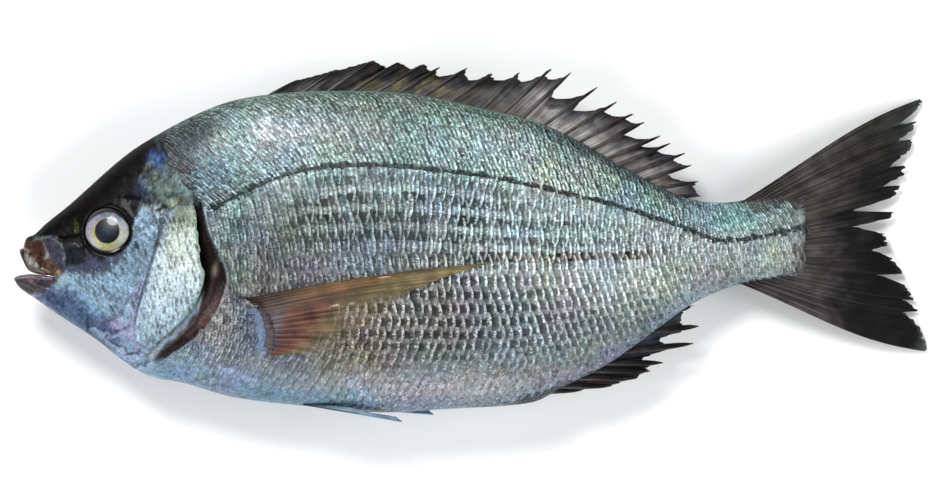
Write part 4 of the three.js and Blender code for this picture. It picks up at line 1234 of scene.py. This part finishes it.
def plates(name, places, side, material, seed, rise, height=skin_height, grid=(6, 7), trim=None):
    """Overlapping scales as one mesh: each is a curved plate with a rounded rear edge.

    `grid` is how many points a plate has along it and up it. `trim` gives a line that the rows held
    above it or below it stop short of.
    """
    luck = np.random.default_rng(seed)
    count, (lengths, heights) = len(places), grid
    x, y, spacing, pitch, slope, lean, below, above, line, held = places.T[:, :, None, None]
    draw = lambda spread: spread * luck.standard_normal((count, 1, 1)).clip(-1.8, 1.8)
    chance, size, tilt = luck.random((count, 1, 1)), 1 + draw(LUCK_SIZE), 1 + draw(LUCK_TILT)
    x, y = x + draw(LUCK_ALONG) * pitch, y + draw(LUCK_ACROSS) * spacing
    a = np.r_[np.linspace(0.0, 1, lengths), 1.0][None, :, None]
    b = np.linspace(-1, 1, heights)[None, None, :]
    skirt = np.r_[np.zeros(lengths), 1.0][None, :, None]
    turn = np.arctan(slope) + draw(LUCK_TURN)
    half = 0.5 * spacing * SCALE_COVER * size
    u = 0.5 * pitch * size - SCALE_LENGTH * pitch * (1 - a) - REAR_BOW * pitch * np.abs(b) ** 2.4 * a**2
    v = half * b * (1 - FRONT_TAPER * (1 - a))
    px = x + u * np.cos(turn) - v * np.sin(turn) + lean * v
    py = y + u * np.sin(turn) + v * np.cos(turn)
    if trim:
        gap = LINE_GAP * (1 + 0.6 * noise(px, 0 * px, 0.35, 44)) * step(-29, -25, px)
        py = np.where(held > 0, np.maximum(py, trim(px) + gap), np.minimum(py, trim(px) - gap))
    fit = np.clip(spacing / 1.7, 0.6, 1) * mix(0.6, 1, step(0.05, 0.22, up_the_side(x, y)))
    lift = -FRONT_SUNK + (rise + FRONT_SUNK) * a**1.2 * (1 - 0.35 * b**2) * tilt * fit
    lift = lift - skirt * sizes().scale_edge / MM
    px, py, lift, a_all, b_all = np.broadcast_arrays(px, py, lift, a + 0 * b, b + 0 * a)
    points = on_flank(px, py, lift, side, height).reshape(-1, 3)
    per = (lengths + 1) * heights
    faces = grid_faces(lengths + 1, heights)[:, ::-side]
    faces = (faces[None] + (np.arange(count) * per)[:, None, None]).reshape(-1, 4)
    piece = make_mesh(name, points, faces, material)
    paint(piece, "tone", np.repeat(tone(x.ravel(), y.ravel()), per, axis=0))
    paint(piece, "along", a_all.ravel())
    paint(piece, "across", b_all.ravel())
    warm = step(1, 5, px) * step(0.95, 0.6, np.abs(py - along(MIDDLE_ROW, px)))
    paint(piece, "warm", warm.ravel())
    wide = blob(x, y, 4, -8.5, 20, 6.5, 4, 3)
    double = 1 - wide if height is skin_height else 0 * x
    # Each scale stores how strongly its painted shade and highlights show, with its pigments.
    numbers = {"chance": chance, "painted_shading": painted_shading_depth(x, y), "below": below, "above": above, "line": line,
               "double": double, "tall": np.maximum(np.maximum(held, 0), np.maximum(below, above))}
    for label, values in numbers.items():
        paint(piece, label, np.repeat(np.asarray(values).ravel(), per))
    lay_out(piece, count, lengths + 1, heights)
    return dress(piece, "skin")


def lay_out(piece, count, rows, columns):
    """Gives each scale a cell of its own in the texture layout."""
    cells = math.ceil(math.sqrt(count))
    which = np.repeat(np.arange(count), rows * columns)
    i = np.tile(np.repeat(np.arange(rows), columns), count) / (rows - 1)
    j = np.tile(np.arange(columns), rows * count) / (columns - 1)
    margin = 0.06
    u = (which % cells + margin + (1 - 2 * margin) * i) / cells
    v = (which // cells + margin + (1 - 2 * margin) * j) / cells
    corners = np.empty(len(piece.data.loops), int)
    piece.data.loops.foreach_get("vertex_index", corners)
    layer = piece.data.uv_layers.new(name="OFBake")
    layer.data.foreach_set("uv", np.stack([u, v], -1)[corners].ravel())


class BREAM_OT_scales(bpy.types.Operator):
    """Covers both flanks with overlapping scales, row by row, and adds the lateral line"""

    bl_idname = "bream.scales"
    bl_label = "Scales"

    def execute(self, context):
        material = silvered_scale("Wet_silvered_scale", 1.0)
        pored = silvered_scale("Wet_pored_scale", 0.8)
        rise = sizes().scale_rise / MM
        flank_scales, line_scales = body_scales(), lateral_scales()
        for side, sign in SIDES.items():
            plates(f"scales_{side}", flank_scales, sign, material, SEED + sign, rise, trim=line_y)
            plates(f"lateral_line_{side}", line_scales, sign, pored, SEED + 3 + sign, rise)
        return {"FINISHED"}


# ---- Gill covers ----

COVER_TOP, COVER_BOTTOM = 3.9, -11.7  # in percent
COVER_HALF = 0.35  # half of a gill cover's thickness, in millimetres
COVER_TURN, CHEEK_TURN = 6, 28  # how far the rows of fine scales rise towards the tail, in degrees
FINE_RISE = 0.16  # how far the rear edge of a fine scale stands up, in millimetres
FINE_GRID = (5, 5)  # points along and up a fine scale


class BREAM_OT_gill_covers(bpy.types.Operator):
    """Makes the gill covers, and the fine scales of the covers and the cheeks"""

    bl_idname = "bream.gill_covers"
    bl_label = "Gill covers and cheeks"

    def execute(self, context):
        skin = wet_skin()
        smooth = silvered_scale("Wet_silvered_gill_cover_scale", 0.75)
        fine = silvered_scale("Wet_silvered_cheek_scale", 0.5)
        y = np.linspace(COVER_TOP, COVER_BOTTOM, 90)[None, :]
        s = np.linspace(0, 1, 46)[:, None]
        front, rear = across(GILL_COVER_FRONT, y), across(GILL_COVER_EDGE, y)
        rear = rear + 0.12 * noise(rear, y, 0.9, 51)
        x = mix(front, rear, s)
        outline = [*GILL_COVER_FRONT[1:-1], *reversed(GILL_COVER_EDGE)]
        for side, sign in SIDES.items():
            middle = on_flank(x, np.broadcast_to(y, x.shape), -COVER_HALF, sign, cover_height) / MM
            cover = sheet(f"gill_cover_{side}", middle, COVER_HALF, skin)
            paint(cover, "tone", cover_tone(*places_of(cover)))
            dress(cover, "skin")
            scales = plates(f"gill_cover_scales_{side}", small_scales(outline, COVER_TURN), sign, smooth,
                            SEED + 10 + sign, FINE_RISE, cover_height, FINE_GRID)
            paint_over(scales, cover_tone)
            plates(f"cheek_scales_{side}", small_scales(CHEEK, CHEEK_TURN), sign, fine,
                   SEED + 20 + sign, FINE_RISE, grid=FINE_GRID)
        return {"FINISHED"}


def cover_tone(x, y):
    """Colour of the gill cover: bright silver-green, blue in front and below, dark at its rim, with a thin
    line of painted shade along its front edge.
    """
    s = share_between(GILL_COVER_FRONT, GILL_COVER_EDGE, x, y)
    colour = layered(
        ramp(y + 0.8 * noise(x, y, 1.5, 61), GILL_COVER_BELTS),
        ("#8ea6c4", 0.6 * step(0.3, 0.0, s)),
        # Painted shade along the front edge, in the groove before it.
        ("#20243a", 0.7 * step(0.035, 0.0, s) * step(2.5, 1.0, y) * step(-10.5, -8.0, y)),
        ("#5f7468", 0.75 * step(0.9, 0.99, s)),
    )
    return colour * (1 + 0.12 * noise(x, y, 0.7, 62)[..., None] * np.array([1, 0.9, 1.1]))


def paint_over(piece, tone_at):
    """Replaces a piece's tone by another function of the place."""
    piece.data.attributes.remove(piece.data.attributes["tone"])
    paint(piece, "tone", tone_at(*places_of(piece)))


# ---- Mouth ----


class BREAM_OT_mouth(bpy.types.Operator):
    """Makes the lips round the open mouth and the fold inside the upper lip"""

    bl_idname = "bream.mouth"
    bl_label = "Lips"

    def execute(self, context):
        material = wet_flesh("Wet_lip_skin", 1.2, 0.3, 0.6)
        for name, path, colours in (
            ("upper_lip", UPPER_LIP_PATH, ((0, "#4a2c2c"), (0.5, "#2b1a1c"), (1, "#181012"))),
            ("inner_lip_fold", INNER_FOLD_PATH, ((0, "#6b5638"), (0.4, "#9a938a"), (1, "#8a7f78"))),
            ("lower_lip", LOWER_LIP_PATH, ((0, "#4f434c"), (0.5, "#6a6268"), (1, "#34323a"))),
        ):
            line = smooth_line(path, 26)
            whole = np.concatenate([line, line[-2::-1] * (1, 1, -1, 1)])
            x, y, out, radius = whole.T
            points = np.stack([x * UNIT_MM, y * UNIT_MM, mid_plane(x) + out], -1)
            lip, reach = rods(name, [points], [radius], (0, 1, 0), material)
            paint(lip, "tone", ramp(1 - np.abs(2 * reach - 1), colours))
            dress(lip, "mouth")
        return {"FINISHED"}


# ---- Fins ----

EDGE_POINTS, BONE_POINTS = 18, 18  # points of a web's edge from ray to ray, and along a bony ray
WEB_STEPS, TAIL_STEPS, SIDE_STEPS, BELLY_STEPS = 30, 46, 60, 30  # points from a fin's root to its edge
# Half thickness at the root and at the edge, in millimetres.
WEB_HALF, TAIL_HALF, SIDE_HALF, BELLY_HALF = (0.42, 0.12), (1.0, 0.13), (0.32, 0.12), (0.4, 0.15)
BONE_TIP = 0.16  # radius of a bony ray at its tip, in millimetres
FRAY, TAIL_FRAY = 0.16, 0.5  # how ragged the edges are, in percent of the length
TAIL_BULGE = 0.9  # how far the tail's outer edges bow out, in percent
TAIL_RIDGES = 0.4  # how much thicker the tail is on its rays, as a share
SIDE_BOW = 0.45  # how far the side fin's leading rays bow up, in percent
SIDE_RIDGES, SIDE_SUNK = 0.16, 1.3  # height of its rays and depth of its root in the flank, in millimetres
THINNEST = 0.16  # how much its thin rear web covers, from 0 to 1
FIN_SUNK = 1.2  # how far the roots of the back and anal fins are sunk into the body, in percent


def spread_points(roots, ends, steps):
    """Grid of points from roots to ends in the mid plane, sagging towards the fin's edge."""
    f = np.linspace(0, 1, steps)[None, :, None]
    flat = mix(roots[:, None, :], ends[:, None, :], f)
    x, y = flat[..., 0], flat[..., 1]
    reach = np.broadcast_to(f[..., 0], x.shape)
    z = mid_plane(x) - sizes().fin_sag / MM * reach**2 + 0.45 * noise(x, y, 2.6, 71) * reach
    return np.stack([x * UNIT_MM, y * UNIT_MM, z], -1), reach


def web_edge(tip, root, low, next_tip, next_root, stout, count):
    """The web's edge between two rays: down the first ray's back, round the notch and up the next.

    It hugs the next ray at `stout` 0, and at 1 goes straight to its tip, which makes a broad thorn.
    """
    def foot(start, end):
        """The place beside the notch's lowest point on a ray."""
        ray = end - start
        return start + ray * np.clip((low - start) @ ray / (ray @ ray), 0.1, 1)

    here, there = foot(root, tip), foot(next_root, next_tip)
    rise = mix(there, next_tip, 0.45)
    hugging = [mix(low, rise, 0.6), mix(there, next_tip, 0.72), mix(there, next_tip, 0.95)]
    straight = [mix(low, next_tip, share) for share in (0.4, 0.75, 0.95)]
    path = [mix(tip, here, 0.06), mix(tip, here, 0.7), mix(here, low, 0.55), low]
    path += [mix(bent, direct, stout) for bent, direct in zip(hugging, straight)]
    return smooth_line(path, count + 1)[:-1]


def rayed_fin(name, rays, contour, inward, web_material, bone_material, tone_at, stout, thick, bone_shade):
    """A spread fin along the back or belly: a web with concave gaps, and its bony rays.

    `stout` is a function of x, `thick` the radius of a bone in millimetres, `bone_shade` its lightness.
    """
    rays = np.array(rays)
    root_y = lambda x: along(contour, x) - inward
    following = np.r_[rays[1:], rays[-1:] + np.array([1.0, 0.6, 0, 0.3, 0])]
    share = np.arange(EDGE_POINTS) / EDGE_POINTS
    roots, ends, index = [], [], []
    for i, (ray, after) in enumerate(zip(rays, following)):
        root, next_root = np.array([ray[0], root_y(ray[0])]), np.array([after[0], root_y(after[0])])
        roots.append(mix(root, next_root, share[:, None]))
        ends.append(web_edge(ray[1:3], root, ray[3:5], after[1:3], next_root, stout(ray[0]), EDGE_POINTS))
        index.append(i + share)
    roots, ends, index = np.concatenate(roots), np.concatenate(ends), np.concatenate(index)
    ends[:, 0] += FRAY * np.random.default_rng(SEED).standard_normal(len(ends))
    middle, reach = spread_points(roots, ends, WEB_STEPS)
    web = sheet(f"{name}_web", middle, mix(*WEB_HALF, reach), web_material)
    finish_web(web, np.broadcast_to(index[:, None], reach.shape), reach, tone_at)
    bases = np.stack([rays[:, 0], root_y(rays[:, 0])], -1)
    lines, _ = spread_points(bases, rays[:, 1:3], BONE_POINTS)
    radii = [mix(thick, BONE_TIP, np.linspace(0, 1, BONE_POINTS) ** 7)] * len(lines)
    bones, out = rods(f"{name}_rays", lines, radii, (0, 0, 1), bone_material)
    paint(bones, "tone", bone_shade * ramp(out, FIN_BONE))
    dress(bones, "fin")


def finish_web(web, ray, reach, tone_at):
    """Stores a web's rays, reach and colours, both faces alike."""
    for attribute, values in (("ray", ray), ("reach", reach)):
        paint(web, attribute, np.tile(values.ravel(), 2))
    paint(web, "tone", tone_at(*places_of(web), np.tile(reach.ravel(), 2)))
    dress(web, "fin")


def dorsal_tone(x, y, reach):
    """Back fin: dark grey web, straw patches near its base, black edge and base line."""
    lightness = 0.2 + 0.8 * step(-18, -4, x) + 4.2 * step(2, 9, x) - 1.8 * step(10, 17, x)
    straw = blob(x, y, -6, 17.0, 5, 1.2, -4) * step(0.2, -0.1, noise(x, y, 0.8, 81))
    return layered(
        ramp(reach, BACK_FIN) * lightness[..., None],
        ("#6f6647", 0.75 * straw),
        ("#0e0d0f", 0.8 * step(0.25, 0.5, noise(x, y, 1.1, 82)) * step(0.4, 0.8, reach)),
        ("#2b2f3e", 0.3 * step(0.2, 0.6, noise(x, y, 1.5, 83))),
        ("#4a3b2f", 0.45 * step(11, 15, x) * step(0.1, 0.5, noise(x, y, 1.2, 94))),
        ("#8f8d88", 0.15 * step(0.4, 0.8, noise(x, y, 0.7, 84)) * step(0.9, 0.5, reach)),
    )


def anal_tone(x, y, reach):
    """Anal fin: slate and purple-black web with a dark red patch in front."""
    return layered(
        ramp(reach, ANAL_FIN),
        ("#3c1a20", 0.7 * blob(x, y, 12.5, -15.8, 3.0, 0.7, 12)),
        ("#2d3543", 0.75 * blob(x, y, 19.5, -10.0, 3.2, 1.3, 38)),
        ("#343845", 0.25 * step(0.2, 0.6, noise(x, y, 0.9, 85))),
    )


def tail_tone(x, y, reach):
    """Tail fin: grey-brown blades, greenish-grey tips, blacker middle and lower lobe."""
    blade = step(0.85, 0.3, reach + 0.1 * noise(x, y, 1.1, 88)) * step(-9, 3, y)
    tip = step(0.92, 1.0, reach) * step(9, 12, np.abs(y))
    speckled = x + 0.8 * noise(x, y, 0.8, 89) + 1.2 * noise(x, y, 0.3, 90)
    return layered(
        ramp(y, TAIL_BELTS),
        ("#4b4643", 0.85 * blade),
        ("#060607", 0.6 * step(0.6, 0.9, reach) * step(11, 8, np.abs(y))),
        ("#323c3b", 0.75 * tip),
        ("#0a090a", 0.6 * step(0.2, 0.6, noise(x, y, 1.4, 86)) * (1 - tip)),
        ("#2a2321", 0.35 * step(0.2, 0.6, noise(x, y, 2.1, 87)) * step(-7, 0, y)),
        (FIN_ROOT, 0.85 * step(41.5, 37.0, speckled)),
    )


class BREAM_OT_median_fins(bpy.types.Operator):
    """Makes the back fin, the anal fin and the tail fin"""

    bl_idname = "bream.median_fins"
    bl_label = "Back, anal and tail fins"

    def execute(self, context):
        bone = wet_flesh("Wet_fin_bone", 2.0, 0.35, 0.2)
        web = fin_web("Wet_fin_web", 9.0)
        stouter_in_front = lambda x: mix(1.0, 0.25, step(-17, -11.5, x))
        rayed_fin("dorsal", DORSAL_RAYS, BACK, FIN_SUNK, web, bone, dorsal_tone, stouter_in_front, 0.7, 1.0)
        rayed_fin("anal", ANAL_RAYS, BELLY, -FIN_SUNK, web, bone, anal_tone, lambda x: 0.65, 1.15, 0.35)
        self.tail_fin(fin_web("Wet_tail_web", 3.0))
        return {"FINISHED"}

    def tail_fin(self, material):
        last = len(TAIL_EDGE) - 1
        fine = np.linspace(0, last, last * 8 + 1)
        ends = places_along(TAIL_EDGE, fine)
        ends[:, 0] -= TAIL_FRAY * np.random.default_rng(SEED).random(len(ends)) ** 3
        roots = mix(np.array(TAIL_ROOTS[0]), np.array(TAIL_ROOTS[1]), (fine / last)[:, None])
        middle, reach = spread_points(roots, ends, TAIL_STEPS)
        lobes = 1 - 2 * fine[:, None] / last
        middle[..., 1] += TAIL_BULGE * UNIT_MM * np.sin(math.pi * reach**1.6) * lobes * np.abs(lobes) ** 2
        ray = np.broadcast_to(fine[:, None], reach.shape)
        half = mix(*TAIL_HALF, step(0.0, 0.85, reach)) * (1 + TAIL_RIDGES * np.cos(2 * math.pi * ray))
        finish_web(sheet("tail_fin", middle, half, material), ray, reach, tail_tone)


def side_fin_tone(x, y, reach, ray):
    """Side fin: amber leading rays, reddish root, thin straw web below and two painted highlights on its wet
    rays.
    """
    ridges = 0.5 + 0.5 * np.cos(2 * math.pi * 2.2 * ray)
    comb = step(0.2, 0.1, reach) * step(1.0, 2.0, ray)
    middle = step(0.12, 0.3, reach) * step(0.75, 0.5, reach)
    # Painted highlights: two pale streaks along rays, where wet light glints.
    painted_glints = [
        ("#d6ccb9", 0.8 * np.exp(-(((ray - at) / 0.11) ** 2)) * step(-0.3, 0.3, noise(x, y, 0.5, 95))
         * step(start, start + 0.06, reach) * step(end, end - 0.06, reach))
        for at, start, end in ((0.65, 0.5, 0.74), (3.5, 0.48, 0.7))
    ]
    return layered(
        ramp(ray, SIDE_FIN_RAYS),
        ("#57332a", 0.85 * step(0.8, 0.4, reach) * step(1.8, 3.5, ray)),
        ("#20191d", 0.85 * comb * step(0.25, 0.55, ridges)),
        ("#7b7f88", 0.5 * comb * step(0.75, 0.95, ridges)),
        ("#4f4a52", 0.7 * step(0.24, 0.1, reach) * step(1.2, 2.4, ray)),
        ("#0f0a0b", 0.95 * step(0.17, 0.06, reach) * step(2.2, 1.0, ray)),
        ("#756d4c", 0.75 * step(0.4, 0.85, reach + 0.05 * ray.clip(0, 3) - 0.1)),
        ("#85653f", 0.5 * middle * step(2.4, 1.2, ray)),
        ("#3d2312", 0.8 * step(0.3, 0.1, reach) * step(3.4, 1.8, ray)),
        ("#241a1b", 0.85 * step(0.09, 0.03, reach) * step(2.6, 1.2, ray)),
        *painted_glints,
    )


class BREAM_OT_paired_fins(bpy.types.Operator):
    """Makes the side fins and the belly fins, folded back along the body"""

    bl_idname = "bream.paired_fins"
    bl_label = "Side and belly fins"

    def execute(self, context):
        amber = fin_web("Wet_side_fin_web", 5.0, wet=0.2, see_through=True)
        pale = fin_web("Wet_belly_fin_web", 3.0)
        for side, sign in SIDES.items():
            self.side_fin(side, sign, amber)
            self.belly_fin(side, sign, pale)
        return {"FINISHED"}

    def side_fin(self, side, sign, material):
        last = len(PECTORAL_TIPS) - 1
        fine = np.linspace(0, last, last * 12 + 1)
        ends, roots = places_along(PECTORAL_TIPS, fine), smooth_line(PECTORAL_ROOTS, len(fine))
        f = np.linspace(0, 1, SIDE_STEPS)
        flat = mix(roots[:, None, :], ends[:, None, :], f[None, :, None])
        bow = SIDE_BOW * np.sin(math.pi * f)[None, :] * (1 - fine / last)[:, None]
        x, y = flat[..., 0], flat[..., 1] + bow
        ray, reach = np.broadcast_arrays(fine[:, None], f[None, :])
        lift = sizes().side_fin_rise / MM * mix(1.0, 0.62, reach) - SIDE_SUNK * step(0.05, 0, reach)
        lift = lift + SIDE_RIDGES * np.cos(2 * math.pi * 2 * ray)
        middle = on_flank(x, y, lift, sign) / MM
        fin = sheet(f"pectoral_{side}", middle, mix(*SIDE_HALF, reach), material)
        finish_web(fin, ray, reach, lambda x, y, out: side_fin_tone(x, y, out, np.tile(ray.ravel(), 2)))
        thin = step(1.6, 4.0, ray) * step(0.34, 0.85, reach + 0.16 * noise(x, y, 1.0, 93))
        paint(fin, "veil", np.tile(mix(1.0, THINNEST, thin).ravel(), 2))

    def belly_fin(self, side, sign, material):
        tips = np.array(PELVIC_TIPS)
        tips[:, :2] += PELVIC_STAGGER[side]
        many, f = np.linspace(0, len(tips) - 1, 26), np.linspace(0, 1, BELLY_STEPS)
        spread = mix(np.array(PELVIC_ROOT), places_along(tips, many)[:, None], f[None, :, None])
        x, y, out = np.moveaxis(spread, -1, 0)
        middle = np.stack([x * UNIT_MM, y * UNIT_MM, mid_plane(x) + sign * out * UNIT_MM], -1)
        ray, reach = np.broadcast_arrays(many[:, None] * 1.6, f[None, :])
        fin = sheet(f"pelvic_{side}", middle, mix(*BELLY_HALF, reach), material, across=(0, 1, 0))
        finish_web(fin, ray, reach, lambda x, y, out: ramp(out, BELLY_FIN))


# ---- Eyes ----

EYE_SUNK, EYE_DOME = 2.2, 4.0  # the start of the eye's dome under the flank, and its height, in millimetres
EYE_EDGE, EYE_ROUND = 1.06, 1.08  # where the piece ends and where the dome would, in the visible disc's radii
EYE_RINGS, EYE_AROUND = 56, 110  # rings of points on the eye, and points on each


def eye_tone(radius, angle):
    """Eye: dark pupil with a pale lens that is partly a painted reflection, yellow-green ring, iris silver,
    lavender and cream, darkened at its top by painted shade from the lid.
    """
    colours = bpy.context.scene.bream_colours
    up, ahead = np.sin(angle), -np.cos(angle)
    grainy = noise(radius * 9 * np.cos(angle), radius * 9 * np.sin(angle), 1.3, 91)
    lower_front = step(-0.4, 0.8, 0.75 * ahead - 0.65 * up)
    from_ring = radius - 0.58 - 0.04 * lower_front - 0.02 * grainy
    ring = np.exp(-((from_ring / (0.03 + 0.04 * lower_front)) ** 2))
    iris = layered(
        ramp(up + 0.25 * grainy, IRIS_BELTS),
        ("#9385a6", 0.6 * step(0.2, 0.9, ahead)),
        ("#5d6470", 0.5 * step(0.72, 0.95, radius)),
        ("#8c8a3e", 0.75 * step(0.3, 0.85, -0.7 * up + 0.7 * ahead) * step(0.86, 0.66, radius)),
        ("#a9b2ab", 0.55 * step(0.5, 0.95, -0.1 * up - 0.95 * ahead)),
        ("#96955a", mix(0.5, 0.95, lower_front) * ring),
    )
    # The pale lens in the pupil: the lens, and a painted reflection on it.
    lens = blob(radius * np.cos(angle), radius * np.sin(angle), 0.02, 0.1, 0.3, 0.3)[..., None]
    pupil = mix(np.array(colours.pupil), np.array(colours.lens), lens)
    colour = mix(iris, pupil, step(0.555, 0.52, radius)[..., None])
    lid = 0.13 * step(0.1, 0.9, up) + 0.08 * step(-0.2, -0.9, up)
    return layered(colour, ("#060a10", np.exp(-(((radius - 0.53) / 0.025) ** 2))),
                   ("#0b080a", step(0.92, 0.99, radius + lid + 0.015 * grainy)))


class BREAM_OT_eyes(bpy.types.Operator):
    """Makes the two eyes"""

    bl_idname = "bream.eyes"
    bl_label = "Eyes"

    def execute(self, context):
        size = sizes()
        material = eye_surface()
        eye_x, eye_y = size.eye_x, size.eye_y
        tilt_x = float(flank(eye_x + 1, eye_y) - flank(eye_x - 1, eye_y)) / 2
        tilt_y = float(flank(eye_x, eye_y + 1) - flank(eye_x, eye_y - 1)) / 2
        r = np.linspace(0, EYE_EDGE, EYE_RINGS)[:, None]
        angle = np.linspace(0, 2 * math.pi, EYE_AROUND, endpoint=False)[None, :]
        dx, dy = (size.eye_radius / UNIT * r * turn(angle) for turn in (np.cos, np.sin))
        dome = -EYE_SUNK + EYE_DOME * np.sqrt(np.clip(1 - (r / EYE_ROUND) ** 2, 0, 1))
        out = float(flank(eye_x, eye_y)) + dome + tilt_x * dx + tilt_y * dy
        for side, sign in SIDES.items():
            z = float(mid_plane(eye_x)) + sign * out
            points = np.stack([(eye_x + dx) * UNIT_MM, (eye_y + dy) * UNIT_MM, z], -1) * MM
            faces = grid_faces(len(r), angle.size, closed=True)[:, ::-sign]
            piece = make_mesh(f"eyeball_{side}", points, faces, material)
            radius, around = np.broadcast_arrays(r, angle)
            paint(piece, "tone", eye_tone(radius.ravel(), around.ravel()))
            dress(piece, "eye", NODE_EYES[side])
        return {"FINISHED"}


# ---- Stage ----

FLOOR_HALF = 3  # half of the floor's width, in metres
LIGHTS = [  # name, place and width in metres, power in watts
    ("Key", (-0.45, 0.8, 0.85), 0.5, 14.0), ("Left", (-1.1, -0.3, 0.5), 0.7, 6.0),
    ("Right", (1.1, 0.0, 0.5), 0.7, 9.0), ("Low", (0.0, -1.1, 0.6), 0.7, 11.0),
]
LENS, SENSOR = 300.0, 36.0  # the camera's focal length and sensor width, in millimetres
CAMERA_X, CAMERA_Y = 0.0002, -0.0005  # where it stands over the fish, in metres
OUTLINE_HEIGHT = 0.017  # height over the floor of the fish's outline, which the picture's scale holds for


def white_room():
    """White walls and a dim ceiling, so that dark wet skin that faces up stays dark."""
    world = bpy.data.worlds.new("White_room_dim_ceiling")
    world.use_nodes = True
    tree = world.node_tree
    tree.nodes.clear()
    height = add(tree, "ShaderNodeSeparateXYZ", (add(tree, "ShaderNodeTexCoord").outputs["Generated"],))
    strength = add(tree, "ShaderNodeMapRange", (height.outputs[2], 0.2, 0.9, 0.3, 0.05), **SMOOTH)
    walls = add(tree, "ShaderNodeBackground", {"Color": (1, 1, 1, 1), "Strength": strength})
    add(tree, "ShaderNodeOutputWorld", {"Surface": walls})
    return world


class BREAM_OT_stage(bpy.types.Operator):
    """Makes the pale floor, the soft lights and the camera"""

    bl_idname = "bream.stage"
    bl_label = "Stage"

    def execute(self, context):
        scene = context.scene
        material, tree = start_material("Floor_matt_pale")
        shader = add(tree, "ShaderNodeBsdfPrincipled", {"Base Color": rgba("floor"), "Roughness": 0.8})
        add(tree, "ShaderNodeOutputMaterial", {"Surface": shader})
        corners = FLOOR_HALF * np.array([(-1, -1, 0), (1, -1, 0), (1, 1, 0), (-1, 1, 0)])
        make_mesh("floor", corners, [(0, 1, 2, 3)], material)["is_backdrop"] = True
        scene.world = white_room()
        for name, place, width, power in LIGHTS:
            light = bpy.data.lights.new(name, "AREA")
            light.shape, light.size, light.energy = "DISK", width, power
            lamp = bpy.data.objects.new(name, light)
            lamp.location = place
            lamp.rotation_euler = (-Vector(place)).to_track_quat("-Z", "Y").to_euler()
            scene.collection.objects.link(lamp)
        camera = bpy.data.cameras.new("Camera")
        camera.lens, camera.sensor_width = LENS, SENSOR
        camera.clip_start, camera.clip_end = 0.05, 20
        view = bpy.data.objects.new("Camera", camera)
        seen = PHOTO_WIDTH / PHOTO_LENGTH * 100 * UNIT
        view.location = (CAMERA_X, CAMERA_Y, seen * LENS / SENSOR + OUTLINE_HEIGHT)
        scene.collection.objects.link(view)
        scene.camera = view
        scene.view_settings.view_transform = "Standard"
        return {"FINISHED"}


# ---- Panel and registration ----

OPERATORS = (
    BREAM_OT_skin, BREAM_OT_scales, BREAM_OT_gill_covers, BREAM_OT_mouth, BREAM_OT_median_fins,
    BREAM_OT_paired_fins, BREAM_OT_eyes, BREAM_OT_stage,
)


class BREAM_PT_panel(bpy.types.Panel):
    """Lists the fish's pieces, sizes and colours in the sidebar"""

    bl_idname = "BREAM_PT_panel"
    bl_label = "Whole sea bream"
    bl_space_type = "VIEW_3D"
    bl_region_type = "UI"
    bl_category = "Bream"

    def draw(self, context):
        for operator in OPERATORS:
            self.layout.operator(operator.bl_idname)
        for group in (context.scene.bream_sizes, context.scene.bream_colours):
            for name in group.__annotations__:
                self.layout.prop(group, name)


CLASSES = (BreamSizes, BreamColours, *OPERATORS, BREAM_PT_panel)


def register():
    for cls in CLASSES:
        bpy.utils.register_class(cls)
    bpy.types.Scene.bream_sizes = bpy.props.PointerProperty(type=BreamSizes)
    bpy.types.Scene.bream_colours = bpy.props.PointerProperty(type=BreamColours)


def unregister():
    del bpy.types.Scene.bream_colours
    del bpy.types.Scene.bream_sizes
    for cls in reversed(CLASSES):
        bpy.utils.unregister_class(cls)


def main():
    register()
    bpy.ops.bream.skin()
    bpy.ops.bream.scales()
    bpy.ops.bream.gill_covers()
    bpy.ops.bream.mouth()
    bpy.ops.bream.median_fins()
    bpy.ops.bream.paired_fins()
    bpy.ops.bream.eyes()
    bpy.ops.bream.stage()
    visual_box = [list(corner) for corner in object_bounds()]


if __name__ == "__main__":
    main()
